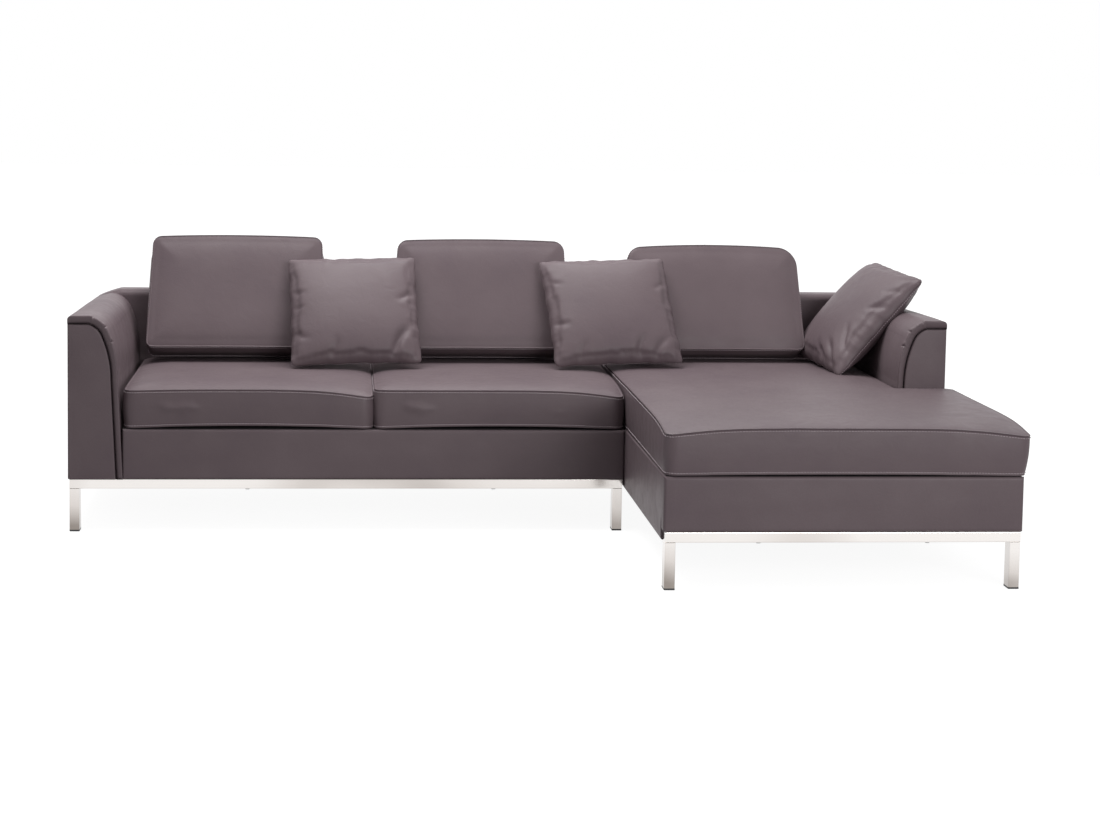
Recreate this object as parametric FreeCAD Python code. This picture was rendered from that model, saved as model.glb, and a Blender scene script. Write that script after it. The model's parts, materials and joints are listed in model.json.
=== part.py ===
import FreeCAD
import Part
import math
import os

os.makedirs("parts", exist_ok=True)

# Corner sofa in two modules: a two-seat sofa and, on its right, a chaise with the right arm.
# Millimetres. X runs to the right seen from the front, Y to the back, Z up from the floor.
# X = 0 is the middle of the whole width and Y = 0 the middle of the chaise's depth.

# Overall sizes
total_width = 2720.0
sofa_width = 1710.0
module_gap = 2.0
sofa_depth = 860.0
chaise_depth = 1668.0

# Heights
leg_height = 132.0
rail_height = 30.0
frame_height = 128.0
deck_thickness = 24.0
arm_frame_top = 638.0
back_corner_height = 644.0
back_height = 673.0

# Timber, straps and covers
board = 22.0
cover = 8.0
cover_round = 5.0
strap_thickness = 2.0
strap_width = 60.0
strap_pitch = 104.0
dust_cloth = 1.5
bearer_height = 96.0

# Two points nearer than this are at one place
same_place = 0.01

# Chrome rails and legs, cut from one rectangular tube
rail_depth = 45.0
rail_setback = 3.0
rail_inset = 5.0
leg_width = 30.0
tube_wall = 2.0
tube_round = 3.0
cap_thickness = 2.0
glide_thickness = 5.0
glide_plug = 14.0
glide_clearance = 0.2
bolt_radius = 3.0
bolt_clearance = 0.2
bolt_head_radius = 6.5
bolt_head = 4.0
bolt_grip = 40.0
bolts_per_rail = 2

# Module connectors
tongue_width = 30.0
tongue_thickness = 4.0
tongue_clearance = 0.5
tongue_tip_gap = 2.0
tongue_places = (0.3, 0.7)
keeper_width = 50.0
keeper_depth = 12.0

# Arms: distances inward from the outer face, at the heights named with them
facing_foot = 146.0
facing_shoulder = 131.0
facing_cheek = 104.0
facing_crest = 60.0
shoulder_height = 470.0
cheek_height = 600.0
low_arc_run = 0.27
low_arc_rise = 0.52
top_arc_run = 0.37
top_arc_rise = 0.64
facing_thickness = 17.0
facing_setback = 3.0
pad_side = 19.0
pad_crest = 25.0
pad_cheek_run = 0.77
pad_cheek_rise = 0.7
pad_round = 12.0
former = 18.0
arm_packer = deck_thickness + strap_thickness

# Back
back_thickness = 100.0
back_pad = 20.0
back_pad_round = 22.0
back_rear_round = 14.0
back_top_rail = 22.0
back_post = 40.0
back_straps = 3
corner_slope_width = 82.0
slope_arc_run = 0.36
slope_arc_rise = 0.48
sofa_inner_posts = 4
chaise_posts = 3

# Straight runs along each side and round each corner of a soft piece
side_steps = 6
corner_steps = 4

# Seat cushions
cushion_clearance = 2.0
cushion_side_gap = 3.0
cushion_boxing = 124.0
cushion_crown = 18.0
cushion_edge = 12.0
cushion_corner = 26.0
cushion_inner_corner = 2.0
cushion_draw = 5.0
cushion_foot_scale = 0.975
seat_left_width = 765.0
# Share of the crown's rise, and the outline's scale there
seat_crown = [(0.0, 1.0), (0.42, 0.965), (0.70, 0.89), (0.90, 0.76), (1.0, 0.52)]

# Back cushions
back_cushion_bottom = 592.0
back_cushion_top = 566.0
back_cushion_depth = 132.0
back_cushion_crown = 13.0
back_cushion_corner = 40.0
back_cushion_foot_corner = 24.0
back_cushion_draw = 4.0
back_cushion_recline = 24.0
straight_back = 90.0
back_height_left = 382.0
back_height_middle = 375.0
back_height_right = 358.0
back_arch = 9.0
back_arch_right = 16.0
# Shift of each back cushion from the middle of the seat under it
back_shift_left = -68.5
back_shift_middle = -20.0
back_shift_right = -53.5
rest_clearance = 1.0
back_crown = [(0.0, 0.96), (0.72, 0.78), (1.0, 0.5)]

# Throw pillows
pillow_width = 424.0
pillow_height = 382.0
pillow_front_swell = 58.0
pillow_back_swell = 35.0
pillow_draw = 8.0
pillow_corner = 9.0
# Share of the swell, and the outline's scale there
pillow_swell = [(0.40, 0.93), (0.74, 0.78), (0.93, 0.58), (1.0, 0.34)]
# Places of the pillows' lower edges, from the front of the back, the split between the two
# seats, the end of the sofa and the right arm
pillow_back_gap = 364.0
pillow_left_shift = -53.0
pillow_middle_shift = 18.0
pillow_arm_gap = 149.0
pillow_arm_back_gap = 303.0
pillow_lean = 36.0
pillow_arm_lean = 41.0
pillow_arm_heading = 9.0
pillow_left_roll = 1.8
pillow_middle_roll = 2.3
pillow_arm_roll = -4.0

# Positions worked out from the sizes above
x_left = -total_width / 2
x_right = total_width / 2
x_sofa_end = x_left + sofa_width
x_chaise = x_sofa_end + module_gap
y_back = chaise_depth / 2
y_sofa = y_back - sofa_depth
y_chaise = -chaise_depth / 2
y_pad = y_back - back_thickness
y_frame_back = y_back - cover
z_frame = leg_height + rail_height
z_frame_top = z_frame + frame_height
z_deck = z_frame_top + strap_thickness
z_deck_top = z_deck + deck_thickness
z_seat = z_deck_top + cushion_clearance
z_seam = z_seat + cushion_boxing
z_seat_top = z_seam + cushion_crown
pad_width = facing_foot + pad_side
x_arm_left = x_left + pad_width
x_arm_right = x_right - pad_width
x_seat_split = x_arm_left + seat_left_width


def vec(x, y, z):
    return FreeCAD.Vector(x, y, z)


def block(x0, x1, y0, y1, z0, z1):
    return Part.makeBox(x1 - x0, y1 - y0, z1 - z0, vec(x0, y0, z0))


def line(a, b):
    return Part.LineSegment(a, b).toShape()


def arc(a, middle, b):
    return Part.Arc(a, middle, b).toShape()


def polygon_prism(points, direction):
    wire = Part.makePolygon(points + [points[0]])
    return Part.Face(wire).extrude(direction)


def round_edges(solid, radius, test):
    edges = [e for e in solid.Edges if test(e)]
    return solid.makeFillet(radius, edges)


def bevel_edges(solid, size, test):
    edges = [e for e in solid.Edges if test(e)]
    return solid.makeChamfer(size, edges)


def runs_along(edge, axis):
    """True for a straight edge whose two ends differ only along the axis (0, 1 or 2)."""
    if len(edge.Vertexes) != 2:
        return False
    a = edge.Vertexes[0].Point
    b = edge.Vertexes[1].Point
    return all(abs(a[k] - b[k]) < same_place for k in range(3) if k != axis)


def write(name, solids):
    shape = Part.makeCompound(solids) if len(solids) > 1 else solids[0]
    shape.exportStep("parts/" + name + ".step")


# Chrome rails, legs, glides and the bolts that hold the rails to the frame

def tube_x(x0, x1, y0, z0):
    outer = block(x0, x1, y0, y0 + rail_depth, z0, z0 + rail_height)
    outer = round_edges(outer, tube_round, lambda e: runs_along(e, 0))
    inner = block(x0, x1, y0 + tube_wall, y0 + rail_depth - tube_wall,
                  z0 + tube_wall, z0 + rail_height - tube_wall)
    return outer.cut(inner)


def leg_tube(x0, y0):
    outer = block(x0, x0 + leg_width, y0, y0 + rail_depth, glide_thickness, leg_height)
    outer = round_edges(outer, tube_round, lambda e: runs_along(e, 2))
    inner = block(x0 + tube_wall, x0 + leg_width - tube_wall,
                  y0 + tube_wall, y0 + rail_depth - tube_wall, glide_thickness, leg_height)
    return outer.cut(inner)


def glide(x0, y0):
    foot = block(x0, x0 + leg_width, y0, y0 + rail_depth, 0, glide_thickness)
    foot = bevel_edges(foot, tube_round / 2, lambda e: runs_along(e, 2))
    gap = tube_wall + glide_clearance
    plug = block(x0 + gap, x0 + leg_width - gap, y0 + gap, y0 + rail_depth - gap,
                 glide_thickness, glide_thickness + glide_plug)
    return foot.fuse(plug).removeSplitter()


def rail_bolt(x, y):
    """Hexagon-head bolt, its head under the rail and its shank up into the board."""
    corners = []
    for k in range(6):
        angle = math.radians(60 * k)
        corners.append(vec(x + bolt_head_radius * math.cos(angle),
                           y + bolt_head_radius * math.sin(angle), leg_height - bolt_head))
    head = polygon_prism(corners, vec(0, 0, bolt_head))
    shank = Part.makeCylinder(bolt_radius, rail_height + bolt_grip, vec(x, y, leg_height))
    return head.fuse(shank)


def bolt_holes(spots, radius, z0, z1):
    return [Part.makeCylinder(radius, z1 - z0, vec(x, y, z0)) for x, y in spots]


def bolt_spots(x0, x1, y):
    step = (x1 - x0) / bolts_per_rail
    return [(x0 + step * (k + 0.5), y) for k in range(bolts_per_rail)]


def cut_all(solid, tools):
    for tool in tools:
        solid = solid.cut(tool)
    return solid


def make_rail(name, x0, x1, y0, board_x0, y_bolts):
    """One rail with its two legs; returns end caps, glides and bolts for the shared groups."""
    spots = bolt_spots(board_x0, x1 - board, y_bolts)
    holes = bolt_holes(spots, bolt_radius + bolt_clearance, leg_height, z_frame)
    tube = tube_x(x0 + cap_thickness, x1 - cap_thickness, y0, leg_height)
    write(name + "_rail", [cut_all(tube, holes)])
    leg_starts = [x0, x1 - leg_width]
    write(name + "_legs", [leg_tube(x, y0) for x in leg_starts])
    caps = []
    for x in (x0, x1 - cap_thickness):
        cap = block(x, x + cap_thickness, y0, y0 + rail_depth, leg_height, z_frame)
        caps.append(bevel_edges(cap, tube_round / 2, lambda e: runs_along(e, 0)))
    glides = [glide(x, y0) for x in leg_starts]
    return caps, glides, [rail_bolt(x, y) for x, y in spots], spots


# Arms, drawn at the left and mirrored for the right

def facing_inset(z):
    """Distance of the facing's straight inner edge from the outer face, at height z."""
    share = (shoulder_height - z) / (shoulder_height - z_frame)
    return facing_shoulder + (facing_foot - facing_shoulder) * share


def arm_curve(grow_side, grow_crest, z_bottom, y):
    """The inner and top outline from the foot to the crest: a line and two arcs."""
    side = grow_side
    mean = (grow_side + grow_crest) / 2
    foot = vec(x_left + facing_inset(z_bottom) + side, y, z_bottom)
    shoulder = vec(x_left + facing_shoulder + side, y, shoulder_height)
    cheek = vec(x_left + facing_cheek + mean * pad_cheek_run, y,
                cheek_height + mean * pad_cheek_rise)
    crest = vec(x_left + facing_crest, y, arm_frame_top + grow_crest)
    low_rise = cheek.z - shoulder.z
    low_run = shoulder.x - cheek.x
    low_middle = vec(shoulder.x - low_run * low_arc_run, y, shoulder.z + low_rise * low_arc_rise)
    top_rise = crest.z - cheek.z
    top_run = cheek.x - crest.x
    top_middle = vec(cheek.x - top_run * top_arc_run, y, cheek.z + top_rise * top_arc_rise)
    return [line(foot, shoulder), arc(shoulder, low_middle, cheek), arc(cheek, top_middle, crest)]


def arm_prism(inset, z_bottom, y0, y1):
    """Solid filling the facing's outline, from a distance inside the outer face."""
    curve = arm_curve(0, 0, z_bottom, y0)
    foot = curve[0].Vertexes[0].Point
    crest = vec(x_left + facing_crest, y0, arm_frame_top)
    top = vec(x_left + inset, y0, arm_frame_top)
    low = vec(x_left + inset, y0, z_bottom)
    wire = Part.Wire(curve + [line(crest, top), line(top, low), line(low, foot)])
    return Part.Face(wire).extrude(vec(0, y1 - y0, 0))


def arm_pad_solid(z_bottom):
    """Padding that wraps over the arm's top and down its inner side."""
    y0 = y_sofa
    outer = arm_curve(pad_side, pad_crest, z_bottom, y0)
    inner = arm_curve(0, 0, z_bottom, y0)
    outer_foot = outer[0].Vertexes[0].Point
    inner_foot = inner[0].Vertexes[0].Point
    z_top = arm_frame_top + pad_crest
    outer_crest = vec(x_left + facing_crest, y0, z_top)
    inner_crest = vec(x_left + facing_crest, y0, arm_frame_top)
    shoulder = vec(x_left + pad_round, y0, z_top)
    turn = pad_round * (1 - math.sqrt(0.5))
    bend = vec(x_left + turn, y0, z_top - turn)
    side = vec(x_left, y0, z_top - pad_round)
    seam = vec(x_left, y0, arm_frame_top)
    wire = Part.Wire(outer + [line(outer_crest, shoulder), arc(shoulder, bend, side),
                              line(side, seam), line(seam, inner_crest)]
                     + inner[::-1] + [line(inner_foot, outer_foot)])
    return Part.Face(wire).extrude(vec(0, y_pad - y0, 0))


def arm_formers(z_bottom):
    y_front = y_sofa + facing_setback + facing_thickness
    span = y_pad - former - y_front
    starts = [y_front, y_front + span / 2, y_front + span]
    return [arm_prism(cover, z_bottom, y, y + former) for y in starts]


def arm_battens(z_bottom):
    """Battens glued between the three formers: under the crest, at the elbow and at the foot."""
    x0 = x_left + cover
    y_front = y_sofa + facing_setback + facing_thickness
    half = (y_pad - former - y_front) / 2
    top = arm_frame_top
    places = [(x0, x0 + 2 * board, top - board, top),
              (x_left + facing_shoulder - board, x_left + facing_shoulder,
               shoulder_height - 2 * board, shoulder_height),
              (x0, x_left + facing_shoulder, z_bottom, z_bottom + board)]
    battens = []
    for k in range(2):
        y0 = y_front + former + half * k
        y1 = y_front + half * (k + 1)
        battens += [block(a, b, y0, y1, c, d) for a, b, c, d in places]
    return battens


def make_arm(name, z_bottom, outer_cover, mirror):
    pieces = {
        "_arm_facing": [arm_prism(0, z_bottom, y_sofa + facing_setback,
                                  y_sofa + facing_setback + facing_thickness)],
        "_arm_pad": [arm_pad_solid(z_bottom)],
        "_arm_formers": arm_formers(z_bottom),
        "_arm_battens": arm_battens(z_bottom),
        "_arm_outer_cover": [outer_cover],
    }
    for suffix, solids in pieces.items():
        if mirror:
            solids = [s.mirror(vec(0, 0, 0), vec(1, 0, 0)) for s in solids]
        write(name + suffix, solids)


def side_cover(x0, y0, top_line):
    """Flat covered panel between the end rails; the top line is (y, z) points front to back."""
    y1 = y_frame_back
    notch_front = max(y0, front_of(y0) + rail_setback + rail_depth)
    notch_back = y_back - rail_setback - rail_depth
    outline = [(y0, z_frame)] + top_line + [(y1, z_frame)]
    outline += [(notch_back, z_frame), (notch_back, leg_height)]
    outline += [(notch_front, leg_height), (notch_front, z_frame)]
    return polygon_prism([vec(x0, y, z) for y, z in outline], vec(cover, 0, 0))


def front_of(y):
    """Front of the module that a side panel starting at y belongs to."""
    return y_chaise if y < y_sofa else y_sofa


# Upholstered back of one module

def back_pad_solid(x0, x1, slope_left):
    """Front padding that wraps over the top, its outer corner sloped down to the arm."""
    z0 = z_deck_top
    z_in = arm_frame_top
    front = back_pad_round
    rear = back_rear_round
    turn = 1 - math.sqrt(0.5)
    a = vec(x0, y_pad, back_height - front)
    a_mid = vec(x0, y_pad + front * turn, back_height - front * turn)
    b = vec(x0, y_pad + front, back_height)
    c = vec(x0, y_back - rear, back_height)
    c_mid = vec(x0, y_back - rear * turn, back_height - rear * turn)
    d = vec(x0, y_back, back_height - rear)
    e = vec(x0, y_back, z_in)
    f = vec(x0, y_pad + back_pad, z_in)
    g = vec(x0, y_pad + back_pad, z0)
    h = vec(x0, y_pad, z0)
    wire = Part.Wire([line(h, a), arc(a, a_mid, b), line(b, c), arc(c, c_mid, d), line(d, e),
                      line(e, f), line(f, g), line(g, h)])
    pad = Part.Face(wire).extrude(vec(x1 - x0, 0, 0))
    x_side = x0 if slope_left else x1 - cover
    side_room = block(x_side, x_side + cover, y_pad, y_pad + back_pad, z0, z_in)
    return pad.common(corner_slope(x0, x1, slope_left)).cut(side_room)


def corner_slope(x0, x1, slope_left):
    """Prism along Y with the rounded outer corner of the back's top."""
    y0 = y_pad
    start = x0 if slope_left else x1
    end = x1 if slope_left else x0
    inward = 1 if slope_left else -1
    z_edge = back_corner_height
    rise = back_height - z_edge
    low = vec(start, y0, z_frame)
    edge = vec(start, y0, z_edge)
    middle = vec(start + inward * corner_slope_width * slope_arc_run, y0,
                 z_edge + rise * slope_arc_rise)
    top = vec(start + inward * corner_slope_width, y0, back_height)
    far = vec(end, y0, back_height)
    far_low = vec(end, y0, z_frame)
    wire = Part.Wire([line(low, edge), arc(edge, middle, top), line(top, far),
                      line(far, far_low), line(far_low, low)])
    return Part.Face(wire).extrude(vec(0, back_thickness, 0))


def make_back(name, x0, x1, slope_left, posts):
    """posts holds the left edge and the foot height of each post."""
    y_front = y_pad + back_pad
    z_top = arm_frame_top
    write(name + "_back_pad", [back_pad_solid(x0, x1, slope_left)])
    inner0 = x0 + cover
    inner1 = x1 - cover
    top_rail = block(inner0, inner1, y_front, y_frame_back, z_top - back_top_rail, z_top)
    write(name + "_back_top_rail", [top_rail])
    y_post = y_front + strap_thickness
    write(name + "_back_posts",
          [block(x, x + back_post, y_post, y_frame_back, foot, z_top - back_top_rail)
           for x, foot in posts])
    room = z_top - back_top_rail - z_deck_top - strap_width
    straps = []
    for k in range(back_straps):
        z = z_deck_top + room * k / (back_straps - 1)
        straps.append(block(inner0, inner1, y_front, y_post, z, z + strap_width))
    write(name + "_back_webbing", straps)
    panel = block(x0, x1, y_frame_back, y_back, z_frame, z_top)
    outer = x0 if slope_left else x1
    panel = round_edges(panel, cover_round, lambda e: runs_along(e, 2)
                        and abs(e.Vertexes[0].X - outer) < same_place
                        and e.Vertexes[0].Y > y_back - same_place)
    write(name + "_rear_cover", [panel])


def front_border(x0, x1, y0, rounded_left, rounded_right):
    """Padded leather front of a module's base, its top and outer corners rounded."""
    panel = block(x0, x1, y0, y0 + cover, z_frame, z_deck_top)

    def outer(edge):
        v = edge.Vertexes[0]
        if abs(v.Y - y0) > same_place or abs(edge.Vertexes[-1].Y - y0) > same_place:
            return False
        if runs_along(edge, 0):
            return v.Z > z_deck_top - same_place
        at_left = rounded_left and abs(v.X - x0) < same_place
        at_right = rounded_right and abs(v.X - x1) < same_place
        return runs_along(edge, 2) and (at_left or at_right)

    return round_edges(panel, cover_round, outer)


# Soft pieces: closed outlines with drawn-in sides, lofted through their levels

def soft_outline(corners, radii, draws):
    """Points of a soft piece's outline, in short straight runs. Each side is a parabola drawn
    in at its middle and each corner a parabola from side to side. Corners run anticlockwise."""
    count = len(corners)
    sides = []
    for k in range(count):
        run = corners[(k + 1) % count].sub(corners[k])
        sides.append(run.normalize())
    points = []
    for k in range(count):
        after = (k + 1) % count
        start = corners[k] + sides[k] * radii[k]
        end = corners[after] - sides[k] * radii[after]
        leave = corners[after] + sides[after] * radii[after]
        inward = vec(-sides[k].y, sides[k].x, 0)
        for step in range(side_steps):
            t = step / side_steps
            points.append(start + (end - start) * t + inward * (draws[k] * 4 * t * (1 - t)))
        for step in range(corner_steps):
            t = step / corner_steps
            points.append(end * (1 - t) ** 2 + corners[after] * (2 * t * (1 - t))
                          + leave * t ** 2)
    return points


def flat_face(points):
    return Part.Face(Part.makePolygon(points + [points[0]]))


def soft_solid(outline, middle, levels):
    """Loft through the outline, scaled about its middle: each level is (height, scale).
    Matching runs stay parallel, so every band is made of flat faces."""
    rings = []
    for height, scale in levels:
        rings.append([middle + (p - middle) * scale + vec(0, 0, height) for p in outline])
    faces = [flat_face(rings[0]), flat_face(rings[-1])]
    count = len(outline)
    for low, high in zip(rings, rings[1:]):
        for k in range(count):
            after = (k + 1) % count
            faces.append(flat_face([low[k], low[after], high[after], high[k]]))
    shell = Part.makeShell(faces)
    shell.sewShape()
    solid = Part.makeSolid(shell)
    if solid.Volume < 0:
        solid.reverse()
    return solid


def seat_cushion(corners, inner_corner=None):
    """Boxed cushion with a rolled bottom edge and a crowned top. inner_corner is the index of
    the one corner that turns inwards, round the arm."""
    radii = [cushion_corner] * len(corners)
    if inner_corner is not None:
        radii[inner_corner] = cushion_inner_corner
    outline = soft_outline(corners, radii, [cushion_draw] * len(corners))
    middle = vec((corners[0].x + corners[1].x) / 2, (y_chaise + y_sofa) / 2, 0)
    if inner_corner is None:
        middle.y = (corners[1].y + corners[2].y) / 2
    levels = [(z_seat, cushion_foot_scale), (z_seat + cushion_edge, 1.0)]
    levels += [(z_seam + cushion_crown * share, scale) for share, scale in seat_crown]
    return soft_solid(outline, middle, levels)


def back_cushion(height, arch):
    """Boxed and crowned both ways, lying flat: width along X, height along Y."""
    half = back_cushion_bottom / 2
    top = back_cushion_top / 2
    corners = [vec(-half, 0, 0), vec(half, 0, 0), vec(top, height, 0), vec(-top, height, 0)]
    foot = back_cushion_foot_corner
    head = back_cushion_corner
    draw = back_cushion_draw
    outline = soft_outline(corners, [foot, foot, head, head], [draw / 2, draw, -arch, draw])
    shell = back_cushion_depth / 2
    rings = [(shell - cushion_edge, 1.0)]
    rings += [(shell + back_cushion_crown * share, scale) for share, scale in back_crown]
    levels = [(-depth, scale) for depth, scale in rings[::-1]] + rings
    return soft_solid(outline, vec(0, height / 2, 0), levels)


def throw_pillow():
    """Knife-edged pillow lying flat: pointed corners, sides drawn in, full in the middle and
    less so at the back, where it is pressed against what it leans on."""
    w = pillow_width / 2
    h = pillow_height
    corners = [vec(-w, 0, 0), vec(w, 0, 0), vec(w, h, 0), vec(-w, h, 0)]
    outline = soft_outline(corners, [pillow_corner] * 4, [pillow_draw] * 4)
    back = [(-pillow_back_swell * share, scale) for share, scale in pillow_swell[::-1]]
    front = [(pillow_front_swell * share, scale) for share, scale in pillow_swell]
    levels = back + [(0, 1.0)] + front
    return soft_solid(outline, vec(0, h / 2, 0), levels)


def lean_against(solid, heading, lean, roll):
    """Stands a flat-lying soft piece up: rolled in its own plane, leaning by an angle from
    upright towards a heading, where a heading of 90 leans straight to the back."""
    heading = math.radians(heading)
    lean = math.radians(lean)
    roll = math.radians(roll)
    across = vec(math.sin(heading), -math.cos(heading), 0)
    slope = vec(math.cos(heading) * math.sin(lean), math.sin(heading) * math.sin(lean),
                math.cos(lean))
    width = across * math.cos(roll) + slope * math.sin(roll)
    rise = slope * math.cos(roll) - across * math.sin(roll)
    normal = width.cross(rise)
    matrix = FreeCAD.Matrix(width.x, rise.x, normal.x, 0, width.y, rise.y, normal.y, 0,
                            width.z, rise.z, normal.z, 0, 0, 0, 0, 1)
    return solid.transformed(matrix)


def rest_on(solid, x, y, z):
    """Moves a leaning piece so its own origin is over x, y and its lowest point is at z."""
    return solid.translated(vec(x, y, z - solid.BoundBox.ZMin))


# Sofa module
y_front_board = y_sofa + cover
y_rear_seat = y_pad - board
frame_x0 = x_arm_left
frame_x1 = x_sofa_end - cover
rail_y_front = y_sofa + rail_setback
rail_y_back = y_back - rail_setback - rail_depth

caps, glides, bolts, sofa_front_spots = make_rail(
    "sofa_front", x_left + rail_inset, x_sofa_end - rail_inset, rail_y_front,
    frame_x0, y_front_board + board / 2)
more = make_rail("sofa_rear", x_left + rail_inset, x_sofa_end - rail_inset, rail_y_back,
                 frame_x0, y_frame_back - board / 2)
caps += more[0]
glides += more[1]
bolts += more[2]
sofa_rear_spots = more[3]


def drilled(solid, spots):
    return cut_all(solid, bolt_holes(spots, bolt_radius, z_frame, z_frame + bolt_grip))


sofa_front_board = block(frame_x0, frame_x1, y_front_board, y_front_board + board,
                         z_frame, z_frame_top)
sofa_rear_board = block(frame_x0, frame_x1, y_frame_back - board, y_frame_back,
                        z_frame, z_frame_top)
sofa_seat_rail = block(frame_x0 + board, frame_x1 - board, y_rear_seat, y_pad,
                       z_frame, z_frame_top)
write("sofa_frame_long_boards", [drilled(sofa_front_board, sofa_front_spots),
                                 drilled(sofa_rear_board, sofa_rear_spots), sofa_seat_rail])

end_y0 = y_front_board + board
end_y1 = y_frame_back - board
cross_boards = [block(x, x + board, end_y0, end_y1, z_frame, z_frame_top)
                for x in (frame_x0, frame_x1 - board)]
for k in range(1, 3):
    x = frame_x0 + (frame_x1 - frame_x0) * k / 3
    cross_boards.append(block(x - board / 2, x + board / 2, end_y0, y_rear_seat,
                              z_frame, z_frame + bearer_height))
write("sofa_frame_cross_boards", cross_boards)

batten_y0 = rail_y_front + rail_depth
battens = [block(x, x + board, batten_y0, rail_y_back, leg_height, z_frame)
           for x in (x_left + cover, frame_x1 - board)]

span = frame_x1 - frame_x0 - strap_width
strap_count = int(span // strap_pitch) + 1
strap_step = span / (strap_count - 1)
write("sofa_seat_webbing",
      [block(frame_x0 + strap_step * k, frame_x0 + strap_step * k + strap_width,
             y_front_board, y_pad, z_frame_top, z_deck) for k in range(strap_count)])
write("sofa_seat_deck", [block(frame_x0, frame_x1, y_front_board, y_pad + back_pad,
                               z_deck, z_deck_top)])
write("sofa_front_border", [front_border(x_arm_left, x_sofa_end, y_sofa, False, False)])
dust_covers = [block(x_left + cover + board, frame_x1 - board, batten_y0, rail_y_back,
                     z_frame - dust_cloth, z_frame)]

y_cover_back = y_pad + back_pad
sofa_end_cover = side_cover(frame_x1, y_sofa + cover,
                            [(y_sofa + cover, z_deck_top), (y_cover_back, z_deck_top),
                             (y_cover_back, arm_frame_top),
                             (y_frame_back, arm_frame_top)])
write("sofa_end_cover", [sofa_end_cover])

y_outer = y_sofa + facing_setback + facing_thickness
left_outer_cover = side_cover(x_left, y_outer, [(y_outer, arm_frame_top),
                                                (y_frame_back, arm_frame_top)])
make_arm("left", z_frame, left_outer_cover, False)

post_span = frame_x1 - back_post - frame_x0
sofa_posts = [(x_left + cover, z_frame)]
sofa_posts += [(frame_x0 + post_span * k / (sofa_inner_posts - 1), z_frame_top)
               for k in range(sofa_inner_posts)]
make_back("sofa", x_left, x_sofa_end, True, sofa_posts)

# Chaise module
chaise_x0 = x_chaise + cover
chaise_x1 = x_right - cover
chaise_front_board_y = y_chaise + cover
more = make_rail("chaise_front", x_chaise + rail_inset, x_right - rail_inset,
                 y_chaise + rail_setback, chaise_x0 + board, chaise_front_board_y + board / 2)
caps += more[0]
glides += more[1]
bolts += more[2]
chaise_front_spots = more[3]
more = make_rail("chaise_rear", x_chaise + rail_inset, x_right - rail_inset, rail_y_back,
                 chaise_x0 + board, y_frame_back - board / 2)
caps += more[0]
glides += more[1]
bolts += more[2]
chaise_rear_spots = more[3]
write("rail_end_caps", caps)
write("leg_glides", glides)
write("rail_bolts", bolts)

inside_x0 = chaise_x0 + board
inside_x1 = chaise_x1 - board
cross = []
for y0, x1, spots in ((chaise_front_board_y, inside_x1, chaise_front_spots),
                      (y_sofa, inside_x1, []),
                      (y_frame_back - board, inside_x1, chaise_rear_spots)):
    plank = block(inside_x0, x1, y0, y0 + board, z_frame, z_frame_top)
    cross.append(drilled(plank, spots))
cross.append(block(inside_x0, x_arm_right - board, y_rear_seat, y_pad, z_frame, z_frame_top))
write("chaise_frame_cross_boards", cross)
write("chaise_frame_long_boards",
      [block(x, x + board, chaise_front_board_y, y_frame_back, z_frame, z_frame_top)
       for x in (chaise_x0, chaise_x1 - board)])
write("chaise_arm_bearer", [block(x_arm_right - board, x_arm_right + board, y_sofa + board,
                                  y_frame_back - board, z_frame, z_frame_top)])

chaise_batten_y0 = y_chaise + rail_setback + rail_depth
battens += [block(x, x + board, chaise_batten_y0, rail_y_back, leg_height, z_frame)
            for x in (chaise_x0, chaise_x1 - board)]
write("side_battens", battens)


def chaise_straps(y0, y1, x1):
    """Straps across the chaise, evenly spread from y0 to y1."""
    room = y1 - y0 - strap_width
    count = int(room // strap_pitch) + 1
    step = room / (count - 1)
    return [block(chaise_x0, x1, y0 + step * k, y0 + step * k + strap_width,
                  z_frame_top, z_deck) for k in range(count)]


write("chaise_seat_webbing", chaise_straps(chaise_front_board_y, y_sofa - board, chaise_x1)
      + chaise_straps(y_sofa + board, y_pad, x_arm_right))
deck_outline = [(chaise_x0, chaise_front_board_y), (chaise_x1, chaise_front_board_y),
                (chaise_x1, y_sofa), (x_arm_right, y_sofa), (x_arm_right, y_cover_back),
                (chaise_x0, y_cover_back)]
write("chaise_seat_deck", [polygon_prism([vec(x, y, z_deck) for x, y in deck_outline],
                                         vec(0, 0, deck_thickness))])
write("chaise_arm_packer", [block(x_arm_right, chaise_x1, y_sofa, y_cover_back,
                                  z_frame_top, z_frame_top + arm_packer)])
write("chaise_front_border", [front_border(x_chaise, x_right, y_chaise, True, True)])
dust_covers.append(block(inside_x0, inside_x1, chaise_batten_y0, rail_y_back,
                         z_frame - dust_cloth, z_frame))
write("dust_covers", dust_covers)

y_side = y_chaise + cover
chaise_left_top = [(y_side, z_deck_top), (y_cover_back, z_deck_top),
                   (y_cover_back, arm_frame_top), (y_frame_back, arm_frame_top)]
write("chaise_left_cover", [side_cover(x_chaise, y_side, chaise_left_top)])
chaise_right_top = [(y_side, z_deck_top), (y_frame_back, z_deck_top)]
write("chaise_right_cover", [side_cover(chaise_x1, y_side, chaise_right_top)])

right_outer_cover = block(x_left, x_left + cover, y_outer, y_frame_back, z_deck_top,
                          arm_frame_top)
make_arm("right", z_deck_top, right_outer_cover, True)

post_room = chaise_x1 - back_post - chaise_x0
post_places = [(chaise_x0 + post_room * k / (chaise_posts - 1), z_frame_top)
               for k in range(chaise_posts)]
make_back("chaise", x_chaise, x_right, False, post_places)

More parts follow.
